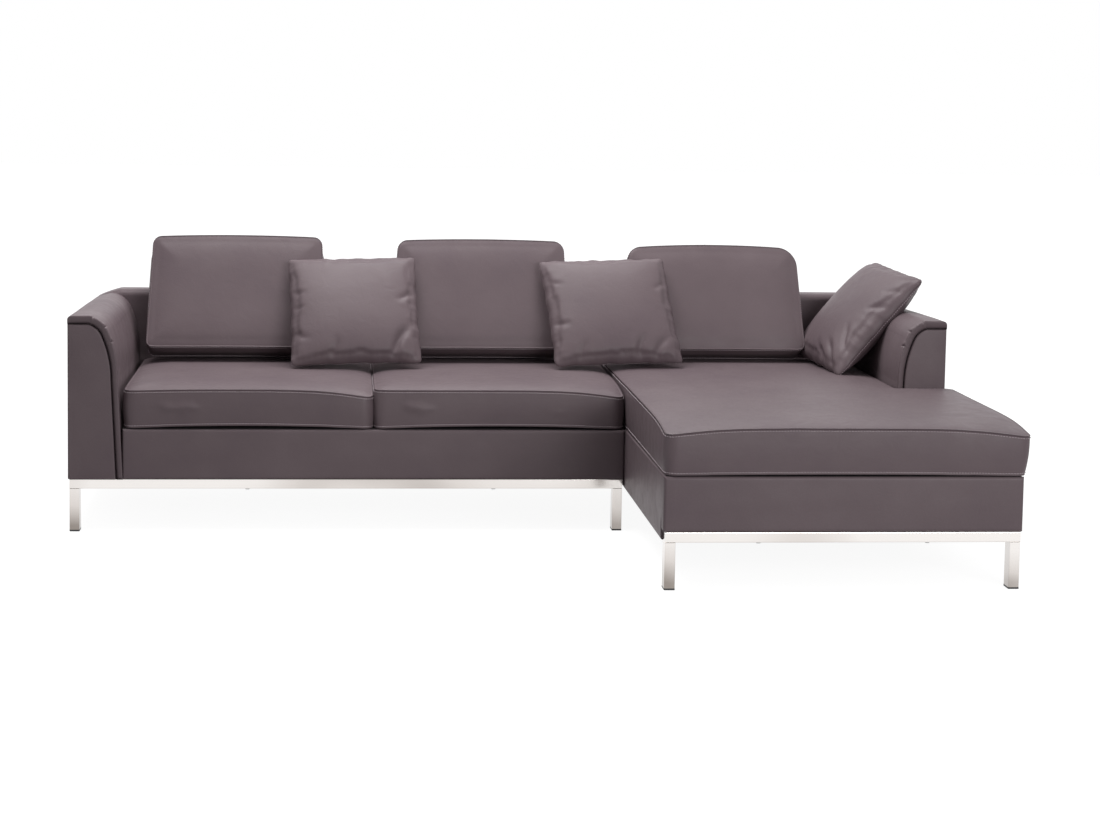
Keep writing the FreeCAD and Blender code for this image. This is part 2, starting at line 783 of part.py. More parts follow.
# Connectors that lock the two modules side by side
tongues = []
keepers = []
for share in tongue_places:
    y = y_sofa + sofa_depth * share
    x0 = frame_x1 - board
    x1 = chaise_x0 + board
    tongues.append(block(x0, x1 - tongue_tip_gap, y - tongue_width / 2, y + tongue_width / 2,
                         leg_height - tongue_thickness, leg_height))
    keeper = block(chaise_x0, x1, y - keeper_width / 2, y + keeper_width / 2,
                   leg_height - keeper_depth, leg_height)
    half_slot = tongue_width / 2 + tongue_clearance
    slot = block(chaise_x0, x1, y - half_slot, y + half_slot,
                 leg_height - tongue_thickness - tongue_clearance, leg_height)
    keepers.append(keeper.cut(slot))
write("module_tongues", tongues)
write("module_keepers", keepers)

# Loose seat cushions
seat_y0 = y_sofa + cushion_side_gap
seat_y1 = y_pad - cushion_side_gap
half_gap = cushion_side_gap / 2


def rectangle(x0, x1, y0, y1):
    return [vec(x0, y0, 0), vec(x1, y0, 0), vec(x1, y1, 0), vec(x0, y1, 0)]


write("seat_cushion_left",
      [seat_cushion(rectangle(x_arm_left + cushion_side_gap, x_seat_split - half_gap,
                              seat_y0, seat_y1))])
write("seat_cushion_right",
      [seat_cushion(rectangle(x_seat_split + half_gap, x_sofa_end - cushion_side_gap,
                              seat_y0, seat_y1))])
chaise_y0 = y_chaise + cushion_side_gap
chaise_cushion_x0 = x_chaise + cushion_side_gap
notch_x = x_arm_right - cushion_side_gap
notch_y = y_sofa - cushion_side_gap
chaise_corners = [(chaise_cushion_x0, chaise_y0), (x_right, chaise_y0), (x_right, notch_y),
                  (notch_x, notch_y), (notch_x, seat_y1), (chaise_cushion_x0, seat_y1)]
write("chaise_cushion", [seat_cushion([vec(x, y, 0) for x, y in chaise_corners],
                                      inner_corner=3)])

# Loose back cushions, leaning on the rounded top edge of the padded back
z_rest = z_seat_top + rest_clearance
recline = math.radians(back_cushion_recline)
reach = back_cushion_depth / 2 + back_cushion_crown + rest_clearance + back_pad_round


def against_back(solid, x):
    """Moves a reclined cushion down to the seat and back to the padded back's top edge."""
    z = z_rest - solid.BoundBox.ZMin
    rise = back_height - back_pad_round - z
    y = y_pad + back_pad_round - (reach + rise * math.sin(recline)) / math.cos(recline)
    return solid.translated(vec(x, y, z))


back_cushions = [
    ("left", (x_arm_left + x_seat_split) / 2 + back_shift_left, back_height_left, back_arch),
    ("middle", (x_seat_split + x_sofa_end) / 2 + back_shift_middle, back_height_middle, back_arch),
    ("right", (x_chaise + x_arm_right) / 2 + back_shift_right, back_height_right,
     back_arch_right)]
for name, x, height, arch in back_cushions:
    standing = lean_against(back_cushion(height, arch), straight_back,
                            back_cushion_recline, 0.0)
    write("back_cushion_" + name, [against_back(standing, x)])

# Loose throw pillows: x and y of the middle of the lower edge, heading, lean and roll
pillows = [("left", x_seat_split + pillow_left_shift, y_pad - pillow_back_gap,
            straight_back, pillow_lean, pillow_left_roll),
           ("middle", x_sofa_end + pillow_middle_shift, y_pad - pillow_back_gap,
            straight_back, pillow_lean, pillow_middle_roll),
           ("right", x_arm_right - pillow_arm_gap, y_pad - pillow_arm_back_gap,
            pillow_arm_heading, pillow_arm_lean, pillow_arm_roll)]
for name, x, y, heading, lean, roll in pillows:
    standing = lean_against(throw_pillow(), heading, lean, roll)
    write("throw_pillow_" + name, [rest_on(standing, x, y, z_rest)])
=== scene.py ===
import json
import math
import bpy
import numpy as np
from mathutils import Matrix, Vector


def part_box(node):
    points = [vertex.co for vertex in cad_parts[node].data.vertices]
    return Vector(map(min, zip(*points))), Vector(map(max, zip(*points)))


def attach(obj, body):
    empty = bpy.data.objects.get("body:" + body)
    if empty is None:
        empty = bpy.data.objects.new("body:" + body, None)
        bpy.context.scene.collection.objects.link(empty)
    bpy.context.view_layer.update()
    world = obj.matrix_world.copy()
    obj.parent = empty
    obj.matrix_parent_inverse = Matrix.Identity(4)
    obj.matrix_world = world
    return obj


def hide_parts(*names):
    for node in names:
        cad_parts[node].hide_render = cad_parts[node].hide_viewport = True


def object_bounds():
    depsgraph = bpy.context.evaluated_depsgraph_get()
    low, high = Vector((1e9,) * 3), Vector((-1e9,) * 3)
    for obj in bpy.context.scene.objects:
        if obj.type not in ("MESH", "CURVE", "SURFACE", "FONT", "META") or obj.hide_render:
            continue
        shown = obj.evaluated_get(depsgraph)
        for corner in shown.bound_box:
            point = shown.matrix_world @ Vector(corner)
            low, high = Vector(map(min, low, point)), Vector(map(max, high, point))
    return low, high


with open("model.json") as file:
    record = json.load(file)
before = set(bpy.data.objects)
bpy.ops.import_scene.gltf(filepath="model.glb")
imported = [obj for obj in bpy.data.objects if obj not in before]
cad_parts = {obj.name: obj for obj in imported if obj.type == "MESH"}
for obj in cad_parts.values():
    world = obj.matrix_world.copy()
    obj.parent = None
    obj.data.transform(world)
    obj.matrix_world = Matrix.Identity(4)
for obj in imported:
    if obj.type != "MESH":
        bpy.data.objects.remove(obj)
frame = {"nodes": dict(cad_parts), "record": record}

cadBox = [list(corner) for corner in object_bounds()]
nodes = frame["nodes"]
print("frame loaded:", len(nodes), "nodes")


# colour and shader nodes

def linearColor(hexText):
    parts = [int(hexText[k:k + 2], 16) / 255 for k in (1, 3, 5)]
    return [p / 12.92 if p <= 0.04045 else ((p + 0.055) / 1.055) ** 2.4 for p in parts] + [1.0]


def setInputs(tree, node, inputs):
    # each input takes a value, or the socket that feeds it
    for key, value in inputs.items():
        if isinstance(value, bpy.types.NodeSocket):
            tree.links.new(value, node.inputs[key])
        else:
            node.inputs[key].default_value = value


def addNode(tree, kind, settings=None, inputs=None):
    node = tree.nodes.new("ShaderNode" + kind)
    for key, value in (settings or {}).items():
        setattr(node, key, value)
    setInputs(tree, node, inputs or {})
    return node


def newMaterial(name):
    material = bpy.data.materials.new(name)
    material.use_nodes = True
    tree = material.node_tree
    tree.nodes.clear()
    shader = addNode(tree, "BsdfPrincipled")
    addNode(tree, "OutputMaterial", inputs={"Surface": shader.outputs[0]})
    place = addNode(tree, "TexCoord").outputs["Object"]
    return material, tree, shader, place


def colorRamp(tree, factor, stops):
    ramp = addNode(tree, "ValToRGB", inputs={"Fac": factor})
    line = ramp.color_ramp
    while len(line.elements) < len(stops):
        line.elements.new(0.5)
    for element, (position, color) in zip(line.elements, stops):
        element.position = position
        element.color = linearColor(color)
    return ramp.outputs["Color"]


def noiseOver(tree, place, scale, detail, roughness=0.5, distortion=0.0):
    return addNode(tree, "TexNoise", inputs={
        "Vector": place, "Scale": scale, "Detail": detail, "Roughness": roughness,
        "Distortion": distortion}).outputs["Fac"]


def mapRange(tree, value, before, after):
    return addNode(tree, "MapRange", inputs={
        "Value": value, "From Min": before[0], "From Max": before[1],
        "To Min": after[0], "To Max": after[1]}).outputs["Result"]


def mathOf(tree, operation, a, b):
    return addNode(tree, "Math", {"operation": operation}, {0: a, 1: b}).outputs[0]


def bumpOf(tree, height, strength, distance, under=None):
    inputs = {"Height": height, "Strength": strength, "Distance": distance}
    if under:
        inputs["Normal"] = under
    return addNode(tree, "Bump", inputs=inputs).outputs["Normal"]


leatherLook = {
    "tones": [(0.25, "#62555a"), (0.5, "#685b5f"), (0.78, "#6e6165")],
    "grainMm": 3.2, "creaseMm": 46.0, "patchMm": 260.0, "poreReach": 0.6, "poreTone": 0.93,
    "roughness": (0.41, 0.53), "specular": 0.25, "ior": 1.45,
    "grainDepth": 0.10, "grainHeight": 0.0006, "creaseDepth": 0.20, "creaseHeight": 0.006,
}
seamLook = {**leatherLook, "tones": [(0.25, "#4d4145"), (0.5, "#54474b"), (0.78, "#5a4d51")]}
chromeLook = {
    "tones": [(0.30, "#8f8781"), (0.46, "#cbc5c1"), (0.62, "#dfdbd8")],
    "stretch": (4, 60, 60), "wipeScale": 6.0, "roughness": (0.06, 0.16), "wideScale": 2.4,
    # heights and shade: a painted shade, the tone lowered from the rails down to the floor
    "heights": (0.02, 0.135), "shade": (-0.16, 0.07),
}


def coatedLeather(name, look, crease):
    # Coated leather with a rolled print: a fine even grain under a satin coat, so a highlight
    # is broad and soft. The real grain is about 1 mm and is drawn at 3 mm to show.
    material, tree, shader, place = newMaterial(name)
    patch = noiseOver(tree, place, 1000 / look["patchMm"], 3.0, 0.55)
    color = colorRamp(tree, patch, look["tones"])
    grain = addNode(tree, "TexVoronoi", {"feature": "F1"}, {
        "Vector": place, "Scale": 1000 / look["grainMm"]}).outputs["Distance"]
    fold = noiseOver(tree, place, 1000 / look["creaseMm"], 5.0, 0.62, 0.6)
    pores = mapRange(tree, grain, (0, look["poreReach"]), (1.0, look["poreTone"]))
    tinted = addNode(tree, "Mix", {"data_type": "RGBA", "blend_type": "MULTIPLY"},
                     {0: 1.0, 6: color, 7: pores})
    soft = bumpOf(tree, fold, look["creaseDepth"] * crease, look["creaseHeight"])
    setInputs(tree, shader, {
        "Base Color": tinted.outputs[2], "IOR": look["ior"],
        "Specular IOR Level": look["specular"],
        "Roughness": mapRange(tree, fold, (0.3, 0.7), look["roughness"]),
        "Normal": bumpOf(tree, grain, look["grainDepth"], look["grainHeight"], soft)})
    return material


def platedChrome(name, look):
    # Polished nickel-chrome plate: a near mirror with faint wiping marks along the tube. Its
    # tone drifts along the tube, and a painted shade darkens it towards the floor, standing in
    # for the darker surroundings that the tube reflects low down.
    material, tree, shader, place = newMaterial(name)
    stretched = addNode(tree, "Mapping", inputs={"Vector": place, "Scale": look["stretch"]})
    wipe = noiseOver(tree, stretched.outputs["Vector"], look["wipeScale"], 4.0)
    wide = noiseOver(tree, place, look["wideScale"], 1.0, 0.3)
    height = addNode(tree, "SeparateXYZ", inputs={"Vector": place}).outputs["Z"]
    # painted shade: the tone is lowered towards the floor, in place of a darker reflection there
    level = mathOf(tree, "ADD", wide, mapRange(tree, height, look["heights"], look["shade"]))
    setInputs(tree, shader, {
        "Base Color": colorRamp(tree, level, look["tones"]), "Metallic": 1.0,
        "Roughness": mapRange(tree, wipe, (0, 1), look["roughness"])})
    return material


def noiseFinish(name, colors, sizeMm, roughness, depth, stretchBy=(1, 1, 1), metallic=0.0):
    # a plain finish whose tone and height follow one noise, stretched where it has a grain
    material, tree, shader, place = newMaterial(name)
    mapped = addNode(tree, "Mapping", inputs={"Vector": place, "Scale": stretchBy})
    noise = noiseOver(tree, mapped.outputs["Vector"], 1000 / sizeMm, 6.0)
    setInputs(tree, shader, {
        "Base Color": colorRamp(tree, noise, [(0.3, colors[0]), (0.7, colors[1])]),
        "Normal": bumpOf(tree, noise, depth, 0.001), "Roughness": roughness,
        "Metallic": metallic})
    return material


def wovenFinish(name, colors, threadMm, roughness):
    # plain weave: two crossed waves at the thread spacing
    material, tree, shader, place = newMaterial(name)
    waves = [addNode(tree, "TexWave", {"bands_direction": axis}, {
        "Vector": place, "Scale": 1000 / threadMm / math.tau}).outputs["Fac"] for axis in "XY"]
    weave = mathOf(tree, "MULTIPLY", *waves)
    setInputs(tree, shader, {
        "Base Color": colorRamp(tree, weave, [(0.1, colors[0]), (0.9, colors[1])]),
        "Normal": bumpOf(tree, weave, 0.4, 0.0006), "Roughness": roughness})
    return material


bodyLeather = coatedLeather("coatedLeatherBody", leatherLook, 0.5)
cushionLeather = coatedLeather("coatedLeatherCushions", leatherLook, 0.8)
pillowLeather = coatedLeather("coatedLeatherPillows", leatherLook, 1.1)
seamLeather = coatedLeather("coatedLeatherSeams", seamLook, 0.3)
thread = noiseFinish("polyesterThread", ("#a89aa0", "#bdb0b5"), 1.5, 0.6, 0.2)
slotFinish = {
    "body_leather": bodyLeather, "cushion_leather": cushionLeather,
    "pillow_leather": pillowLeather, "rail_chrome": platedChrome("chromePlate", chromeLook),
    "connector_steel": noiseFinish("zincPlatedSteel", ("#8c8d8e", "#a9aaab"), 9.0, 0.35, 0.1,
                                   metallic=1.0),
    "glide_plastic": noiseFinish("mouldedPolyethylene", ("#17181a", "#202124"), 2.0, 0.5, 0.15),
    "frame_timber": noiseFinish("sawnPine", ("#b48b5c", "#cda878"), 60.0, 0.7, 0.3, (1, 8, 8)),
    "webbing": wovenFinish("elasticWebbing", ("#1b1a19", "#3a3734"), 2.5, 0.85),
    "deck_cloth": wovenFinish("deckCloth", ("#2a2527", "#3b3437"), 1.6, 0.9),
    "dust_cloth": noiseFinish("feltedDustCloth", ("#121213", "#1c1c1e"), 3.0, 0.95, 0.3),
}
for entry in frame["record"]["subparts"]:
    part = nodes[entry["node"]]
    part.data.materials.clear()
    part.data.materials.append(slotFinish[entry["material_slot"]])
print("finishes made")


# mesh helpers

tiny = 1e-9
edgeLines = 5


def meshObject(name, points, faces, finish):
    # unused points are dropped, so that a grid may leave part of itself out
    faces = np.asarray(faces, np.int32)
    used, index = np.unique(faces, return_inverse=True)
    index = index.reshape(faces.shape)
    mesh = bpy.data.meshes.new(name)
    mesh.vertices.add(len(used))
    mesh.vertices.foreach_set("co", np.asarray(points, np.float32)[used].ravel())
    mesh.loops.add(index.size)
    mesh.loops.foreach_set("vertex_index", index.ravel())
    mesh.polygons.add(len(index))
    mesh.polygons.foreach_set("loop_start", np.arange(len(index)) * index.shape[1])
    mesh.polygons.foreach_set("use_smooth", np.full(len(index), True))
    mesh.update(calc_edges=True)
    mesh.validate()
    mesh.materials.append(finish)
    piece = bpy.data.objects.new(name, mesh)
    bpy.context.scene.collection.objects.link(piece)
    return piece


def pointsKept(count, faces):
    # the points that the faces use, and where each point then stands among them
    used = np.unique(faces)
    kept = np.full(count, -1)
    kept[used] = np.arange(len(used))
    return used, kept


def gridFaces(rows, columns, start=0, wrap=False):
    # quads of a rows x columns block of points; wrap closes each row on itself
    i = np.arange(rows - 1)[:, None]
    j = np.arange(columns if wrap else columns - 1)[None, :]
    a = i * columns + j
    b = i * columns + (j + 1) % columns
    return np.stack([a, b, b + columns, a + columns], -1).reshape(-1, 4) + start


def readRows(items, field, kind=np.float32):
    # three numbers for each item of a mesh's list, one row per item
    values = np.zeros(len(items) * 3, kind)
    items.foreach_get(field, values)
    return values.reshape(-1, 3)


def readPoints(piece):
    return readRows(piece.data.vertices, "co").astype(float)


def readNormals(piece):
    return readRows(piece.data.vertex_normals, "vector").astype(float)


def writePoints(piece, places):
    piece.data.vertices.foreach_set("co", np.asarray(places, np.float32).ravel())
    piece.data.update()


def fixNormals(piece):
    # a closed piece whose signed volume is negative is turned the right way out
    mesh = piece.data
    mesh.calc_loop_triangles()
    places = readPoints(piece)[readRows(mesh.loop_triangles, "vertices", np.int32)]
    volume = np.einsum("ij,ij->i", places[:, 0], np.cross(places[:, 1], places[:, 2])).sum()
    if volume < 0:
        mesh.flip_normals()


def capitalized(node):
    return "".join(word.capitalize() for word in node.split("_"))


def finishPad(piece, node, body):
    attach(piece, body)
    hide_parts(node)


def frameShell(node, outer, inner):
    # two grids of one size, back to back, with their four rims joined: a closed pad
    rows, columns = outer.shape[:2]
    count = rows * columns
    points = np.concatenate([outer.reshape(-1, 3), inner.reshape(-1, 3)])
    index = np.arange(count).reshape(rows, columns)
    faces = [gridFaces(rows, columns), gridFaces(rows, columns, count)[:, ::-1]]
    for line in (index[0, ::-1], index[-1], index[:, 0], index[::-1, -1]):
        faces.append(np.stack([line[:-1], line[:-1] + count, line[1:] + count, line[1:]], -1))
    name = capitalized(node)
    piece = meshObject(name[0].lower() + name[1:], points, np.concatenate(faces), bodyLeather)
    fixNormals(piece)
    finishPad(piece, node, "frame")


def edgeSpaced(low, high, step, edge):
    # positions from low to high: close together within edge of both ends, even between
    turn = np.linspace(0, math.pi / 2, edgeLines + 1)[:-1]
    near = edge * (1 - np.cos(turn))
    middle = np.linspace(low + edge, high - edge, max(3, int((high - low) / step)))
    return np.concatenate([low + near, middle, (high - near)[::-1]])


def rounded(distance, edge):
    # quarter-circle rise from 0 at a border to 1 at edge inside it
    share = np.clip(distance / edge, 0, 1)
    return np.sqrt(np.maximum(0, 1 - (1 - share) ** 2))


def ripple(x, y, seed):
    # smooth unevenness of hand-fitted leather: three crossed sine waves, -1 to 1
    return (np.sin(x * 9.1 + seed) * np.sin(y * 7.3 + 2.1 * seed)
            + 0.6 * np.sin(x * 21.7 + y * 13.0 + 3.3 * seed)
            + 0.4 * np.sin(x * 5.2 - y * 31.0 + 0.7 * seed)) / 2


def unitRows(rows):
    return rows / (np.linalg.norm(rows, axis=-1, keepdims=True) + tiny)


def runAlong(line):
    # distance travelled along a line of points, 0 at its first
    return np.concatenate([[0], np.cumsum(np.linalg.norm(np.diff(line, axis=0), axis=1))])


def bulgedArc(a, b, bulge, count):
    # a circle's points from a to b of a plane, by a point at two shares of the way across and up
    middle = (a[0] - (a[0] - b[0]) * bulge[0], a[1] + (b[1] - a[1]) * bulge[1])
    a, middle, b = (np.asarray(p, float) for p in (a, middle, b))
    rows = np.array([2 * (middle - a), 2 * (b - a)])
    sums = np.array([middle @ middle - a @ a, b @ b - a @ a])
    centre = np.linalg.solve(rows, sums)
    start, mid, end = (math.atan2(*(p - centre)[::-1]) for p in (a, middle, b))
    sweep = (end - start) % math.tau
    if (mid - start) % math.tau > sweep:
        sweep -= math.tau
    angles = start + sweep * np.linspace(0, 1, count)
    radius = np.linalg.norm(a - centre)
    return centre + radius * np.stack([np.cos(angles), np.sin(angles)], -1)


# arms: distances inward from the outer face, at the heights named with them

arm = {
    "foot": 0.146, "shoulder": 0.131, "cheek": 0.104, "crest": 0.060,
    "shoulderHeight": 0.470, "cheekHeight": 0.600, "topHeight": 0.638, "railHeight": 0.162,
    "lowBulge": (0.27, 0.52), "topBulge": (0.37, 0.64),
    "straightPoints": 50, "lowPoints": 110, "topPoints": 70, "flatPoints": 14,
    "roundPoints": 8, "padSide": 0.019, "padTop": 0.025, "topRound": 0.012,
    "edgeHeights": (0.006, 0.0005), "edgeInset": 0.001, "frontRoll": 0.013, "rollStart": 0.12,
    "rollRows": 9, "dartSpan": (0.002, 0.06), "dartRows": 24, "evenStart": 0.075,
    "evenRows": 40, "unevenness": 0.0012, "darts": (0.50, 0.71, 0.92), "dartLength": 0.026,
    "dartDepth": 0.0050, "dartWidth": 0.0026, "dartFan": 0.12, "lipShare": 0.4,
    "lipGap": 0.0085, "lipWidth": 0.006, "rearDrop": 0.018, "fill": 0.8,
}
facing = {"dome": 0.0035, "roll": 0.006, "step": 0.045, "edge": 0.07, "rise": 1.15,
          "footRoom": 0.003, "sink": 0.6, "unevenness": 0.0005, "fill": 0.9}


def armOutline(zBottom):
    # the facing's inner edge from foot to crest, in (inset, height): a line and two arcs
    shoulderHeight = arm["shoulderHeight"]
    share = (shoulderHeight - zBottom) / (shoulderHeight - arm["railHeight"])
    footInset = arm["shoulder"] + (arm["foot"] - arm["shoulder"]) * share
    shoulder = (arm["shoulder"], shoulderHeight)
    cheek = (arm["cheek"], arm["cheekHeight"])
    crest = (arm["crest"], arm["topHeight"])
    straight = np.linspace((footInset, zBottom), shoulder, arm["straightPoints"])
    low = bulgedArc(shoulder, cheek, arm["lowBulge"], arm["lowPoints"])
    high = bulgedArc(cheek, crest, arm["topBulge"], arm["topPoints"])
    return np.concatenate([straight, low[1:], high[1:]])


def armPad(side, node):
    # Leather over foam: the outline pushed out by the pad's thickness and carried from the
    # front seam to the back, rolled in at the front, with three darts behind the seam. The
    # outer shoulder falls towards the back, to meet the back's corner.
    low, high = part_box(node)
    base = armOutline(low.z)
    topHeight, padTop, topRound = arm["topHeight"], arm["padTop"], arm["topRound"]
    along = unitRows(np.gradient(base, axis=0))
    outward = np.stack([along[:, 1], -along[:, 0]], -1)
    rise = np.clip((base[:, 1] - arm["shoulderHeight"])
                   / (topHeight - arm["shoulderHeight"]), 0, 1)
    thick = arm["padSide"] + (padTop - arm["padSide"]) * rise
    over = base + outward * thick[:, None]
    over[-1] = (arm["crest"], topHeight + padTop)
    flat = np.linspace((arm["crest"], topHeight), (topRound, topHeight), arm["flatPoints"])[1:]
    turn = np.linspace(0, math.pi / 2, arm["roundPoints"])[1:]
    bend = np.stack([topRound * (1 - np.sin(turn)),
                     topHeight + padTop - topRound * (1 - np.cos(turn))], -1)
    down = np.array([(0.0, topHeight + gap) for gap in arm["edgeHeights"]])
    outer = np.concatenate([over, flat + (0, padTop), bend, down])
    left = len(bend) + len(down)
    under = np.stack([np.linspace(topRound, arm["edgeInset"], left), np.full(left, topHeight)], -1)
    inner = np.concatenate([base, flat, under])
    # rows along the arm: a quarter-turn roll at the front, close rows at the darts, then even
    roll = np.linspace(arm["rollStart"], math.pi / 2, arm["rollRows"])
    rollEnd = low.y + arm["frontRoll"]
    rowY = np.concatenate([low.y + arm["frontRoll"] * (1 - np.sin(roll)),
                           rollEnd + np.linspace(*arm["dartSpan"], arm["dartRows"]),
                           np.linspace(rollEnd + arm["evenStart"], high.y, arm["evenRows"])])
    full = np.ones((len(rowY), 1))
    full[:len(roll), 0] = 1 - np.cos(roll)
    depth = (rowY - low.y)[:, None]
    section = inner[None] + (outer - inner)[None] * full[..., None]
    run = runAlong(outer)
    curve = run[arm["straightPoints"]], run[len(base) - 1]
    dent = arm["unevenness"] * ripple(run[None] * 0.9, rowY[:, None], side + 2.0) * (full > 0.99)
    fade = np.exp(-(depth / arm["dartLength"]) ** 2)
    for k, share in enumerate(arm["darts"]):
        centre = curve[0] + (curve[1] - curve[0]) * share
        gap = run[None] - centre - arm["dartFan"] * depth * (k - 1)
        valley = np.exp(-(gap / arm["dartWidth"]) ** 2)
        lip = arm["lipShare"] * np.exp(-((gap - arm["lipGap"]) / arm["lipWidth"]) ** 2)
        dent = dent + arm["dartDepth"] * (lip - valley) * fade
    section = section + unitRows(outer - inner)[None] * (dent * full)[..., None]
    shoulder = np.clip((arm["crest"] - section[..., 0]) / arm["crest"], 0, 1)
    toRear = np.clip((rowY - low.y) / (high.y - low.y), 0, 1)[:, None]
    above = np.clip((section[..., 1] - topHeight) / padTop, 0, 1)
    section[..., 1] -= arm["rearDrop"] * shoulder ** 1.5 * toRear * above

    def placed(grid):
        x = side * (cadBox[1][0] - grid[..., 0])
        return np.stack([x, np.broadcast_to(rowY[:, None], x.shape), grid[..., 1]], -1)
    inner = np.broadcast_to(inner[None], section.shape)
    frameShell(node, placed(section), placed(inner))


def armFacing(side, node):
    # Flat upholstered front: a ruled grid from the outer edge to the outline, domed a little
    # and rolled in at its border, where the seam's groove lies.
    low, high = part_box(node)
    edge = armOutline(low.z)
    rows = np.linspace(0, 1, len(edge))
    outerEdge = np.stack([np.zeros(len(edge)),
                          low.z + (arm["topHeight"] - low.z) * rows ** facing["rise"]], -1)
    across = edgeSpaced(0, 1, facing["step"], facing["edge"])
    plan = outerEdge[:, None] + (edge - outerEdge)[:, None] * across[None, :, None]
    width = np.linalg.norm(edge - outerEdge, axis=1)[:, None]
    border = np.minimum(across[None] * width, (1 - across[None]) * width)
    border = np.minimum(border, arm["topHeight"] - plan[..., 1])
    border = np.minimum(border, plan[..., 1] - low.z + facing["footRoom"])
    lift = rounded(border, facing["roll"]) * facing["roll"]
    dome = facing["dome"] * np.sin(np.pi * across)[None] * np.sin(np.pi * rows)[:, None] ** 0.5
    uneven = facing["unevenness"] * ripple(plan[..., 0] * 3, plan[..., 1] * 2, 5 + side)
    y = low.y + facing["roll"] * facing["sink"] - lift - dome + uneven
    x = side * (cadBox[1][0] - plan[..., 0])
    outer, inner = (np.stack([x, face, plan[..., 1]], -1) for face in (y, np.full_like(x, high.y)))
    frameShell(node, outer, inner)


for side, word in ((-1, "left"), (1, "right")):
    armPad(side, word + "_arm_pad")
    armFacing(side, word + "_arm_facing")
print("arms made")


# padded backs

back = {"frontFace": 0.754, "frontRound": 0.022, "rearRound": 0.014, "rearTop": 0.638,
        "slopeWidth": 0.082, "slopeEdge": 0.643, "slopeBulge": (0.36, 0.44),
        "slopePoints": 60, "step": 0.012, "endRoll": 0.008, "endCore": 0.25, "puff": 0.0030,
        "upPoints": 34, "frontPoints": 12, "topPoints": 12, "rearPoints": 9,
        "coreFront": 0.016, "coreRear": 0.006, "coreTop": 0.012, "frontZone": 0.03,
        "fill": 0.8}


def backPad(side, node):
    # Leather over foam: the section runs up the front, over the rounded top and down the
    # back, carried along the width; its top falls in an arc to the arm at the outer end.
    low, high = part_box(node)
    frontRound, rearRound, rearTop = back["frontRound"], back["rearRound"], back["rearTop"]
    spaced = edgeSpaced(0, high.x - low.x, back["step"], back["endRoll"])
    x = low.x + spaced if side < 0 else high.x - spaced
    fromEnd = np.abs(x - (low.x if side < 0 else high.x))
    slope = bulgedArc((0, back["slopeEdge"]), (back["slopeWidth"], high.z), back["slopeBulge"],
                      back["slopePoints"])
    top = np.interp(fromEnd, slope[:, 0], slope[:, 1], right=high.z)[:, None]
    endShare = rounded(np.minimum(fromEnd, np.abs(x - x[-1])), back["endRoll"])
    up = np.linspace(0, 1, back["upPoints"])
    front = np.linspace(0, math.pi / 2, back["frontPoints"])[1:]
    rear = np.linspace(0, math.pi / 2, back["rearPoints"])[1:]
    flatY = np.linspace(low.y + frontRound, high.y - rearRound, back["topPoints"])[1:]
    sectionY = np.concatenate([np.full(len(up), low.y), low.y + frontRound * (1 - np.cos(front)),
                               flatY, high.y - rearRound * (1 - np.sin(rear)),
                               [high.y, high.y]])
    drop = np.concatenate([frontRound * (1 - np.sin(front)), np.zeros(len(flatY)),
                           rearRound * (1 - np.cos(rear))])
    z = np.concatenate([low.z + (top - frontRound - low.z) * up[None], top - drop[None],
                        rearTop + (top - rearRound - rearTop) * np.array([[0.5, 0.0]])], 1)
    y = np.broadcast_to(sectionY, z.shape)
    grid = np.stack([np.broadcast_to(x[:, None], z.shape), y, z], -1)
    core = np.stack([grid[..., 0], np.clip(y, low.y + back["coreFront"], high.y - back["coreRear"]),
                     np.minimum(z, top - back["coreTop"])], -1)
    core[:, -2:, 2] = grid[:, -2:, 2]
    share = back["endCore"] + (1 - back["endCore"]) * endShare
    outer = core + (grid - core) * share[:, None, None]
    bulge = back["puff"] * (1 - ripple(grid[..., 0], z * 3 + y * 4, 1.3) * 0.5) * endShare[:, None]
    aboveFoot = np.clip((z - low.z) * 20, 0, 1) * 0.5
    outer[..., 1] -= np.where(y < low.y + back["frontZone"], bulge, 0) * aboveFoot
    frameShell(node, outer, core)


backPad(-1, "sofa_back_pad")
backPad(1, "chaise_back_pad")
print("backs made")


# covered panels: a flat grid whose border rolls in and whose middle stands a little full

cover = {"roll": 0.005, "puff": 0.0012, "step": 0.022, "depth": 0.007, "rowStep": 0.05,
         "rowEdge": 0.06, "puffReach": 0.12, "jump": 2e-4}


def coveredPanel(node, place, lows, highs, axis, outward, roll=cover["roll"], puff=cover["puff"]):
    # Columns at each place along the panel, from lows to highs; axis 0 runs in X, 1 in Y. A
    # point stands out by roll * quarter circle of its distance to the border, plus the puff.
    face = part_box(node)[outward > 0][1 - axis]
    share = edgeSpaced(0, 1, cover["rowStep"], cover["rowEdge"])
    z = lows[:, None] + (highs - lows)[:, None] * share[None]
    toEnds = np.minimum(place - place[0], place[-1] - place)[:, None]
    border = np.minimum(np.minimum(z - lows[:, None], highs[:, None] - z), toEnds)
    full = np.clip(border / cover["puffReach"], 0, 1)
    proud = roll * (rounded(border, roll) - 1) + puff * full * (2 - full) * (
        1 + 0.5 * ripple(place[:, None] * 1.5, z * 2, face))
    outer = np.zeros(z.shape + (3,))
    outer[..., axis] = place[:, None]
    outer[..., 1 - axis] = face + outward * proud
    outer[..., 2] = z
    inner = outer.copy()
    inner[..., 1 - axis] = face - outward * cover["depth"]
    frameShell(node, outer, inner)


def evenPanel(node, axis, outward, roll=cover["roll"], puff=cover["puff"]):
    low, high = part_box(node)
    place = edgeSpaced(low[axis], high[axis], cover["step"], roll)
    lows, highs = (np.full(len(place), z) for z in (low.z, high.z))
    coveredPanel(node, place, lows, highs, axis, outward, roll, puff)


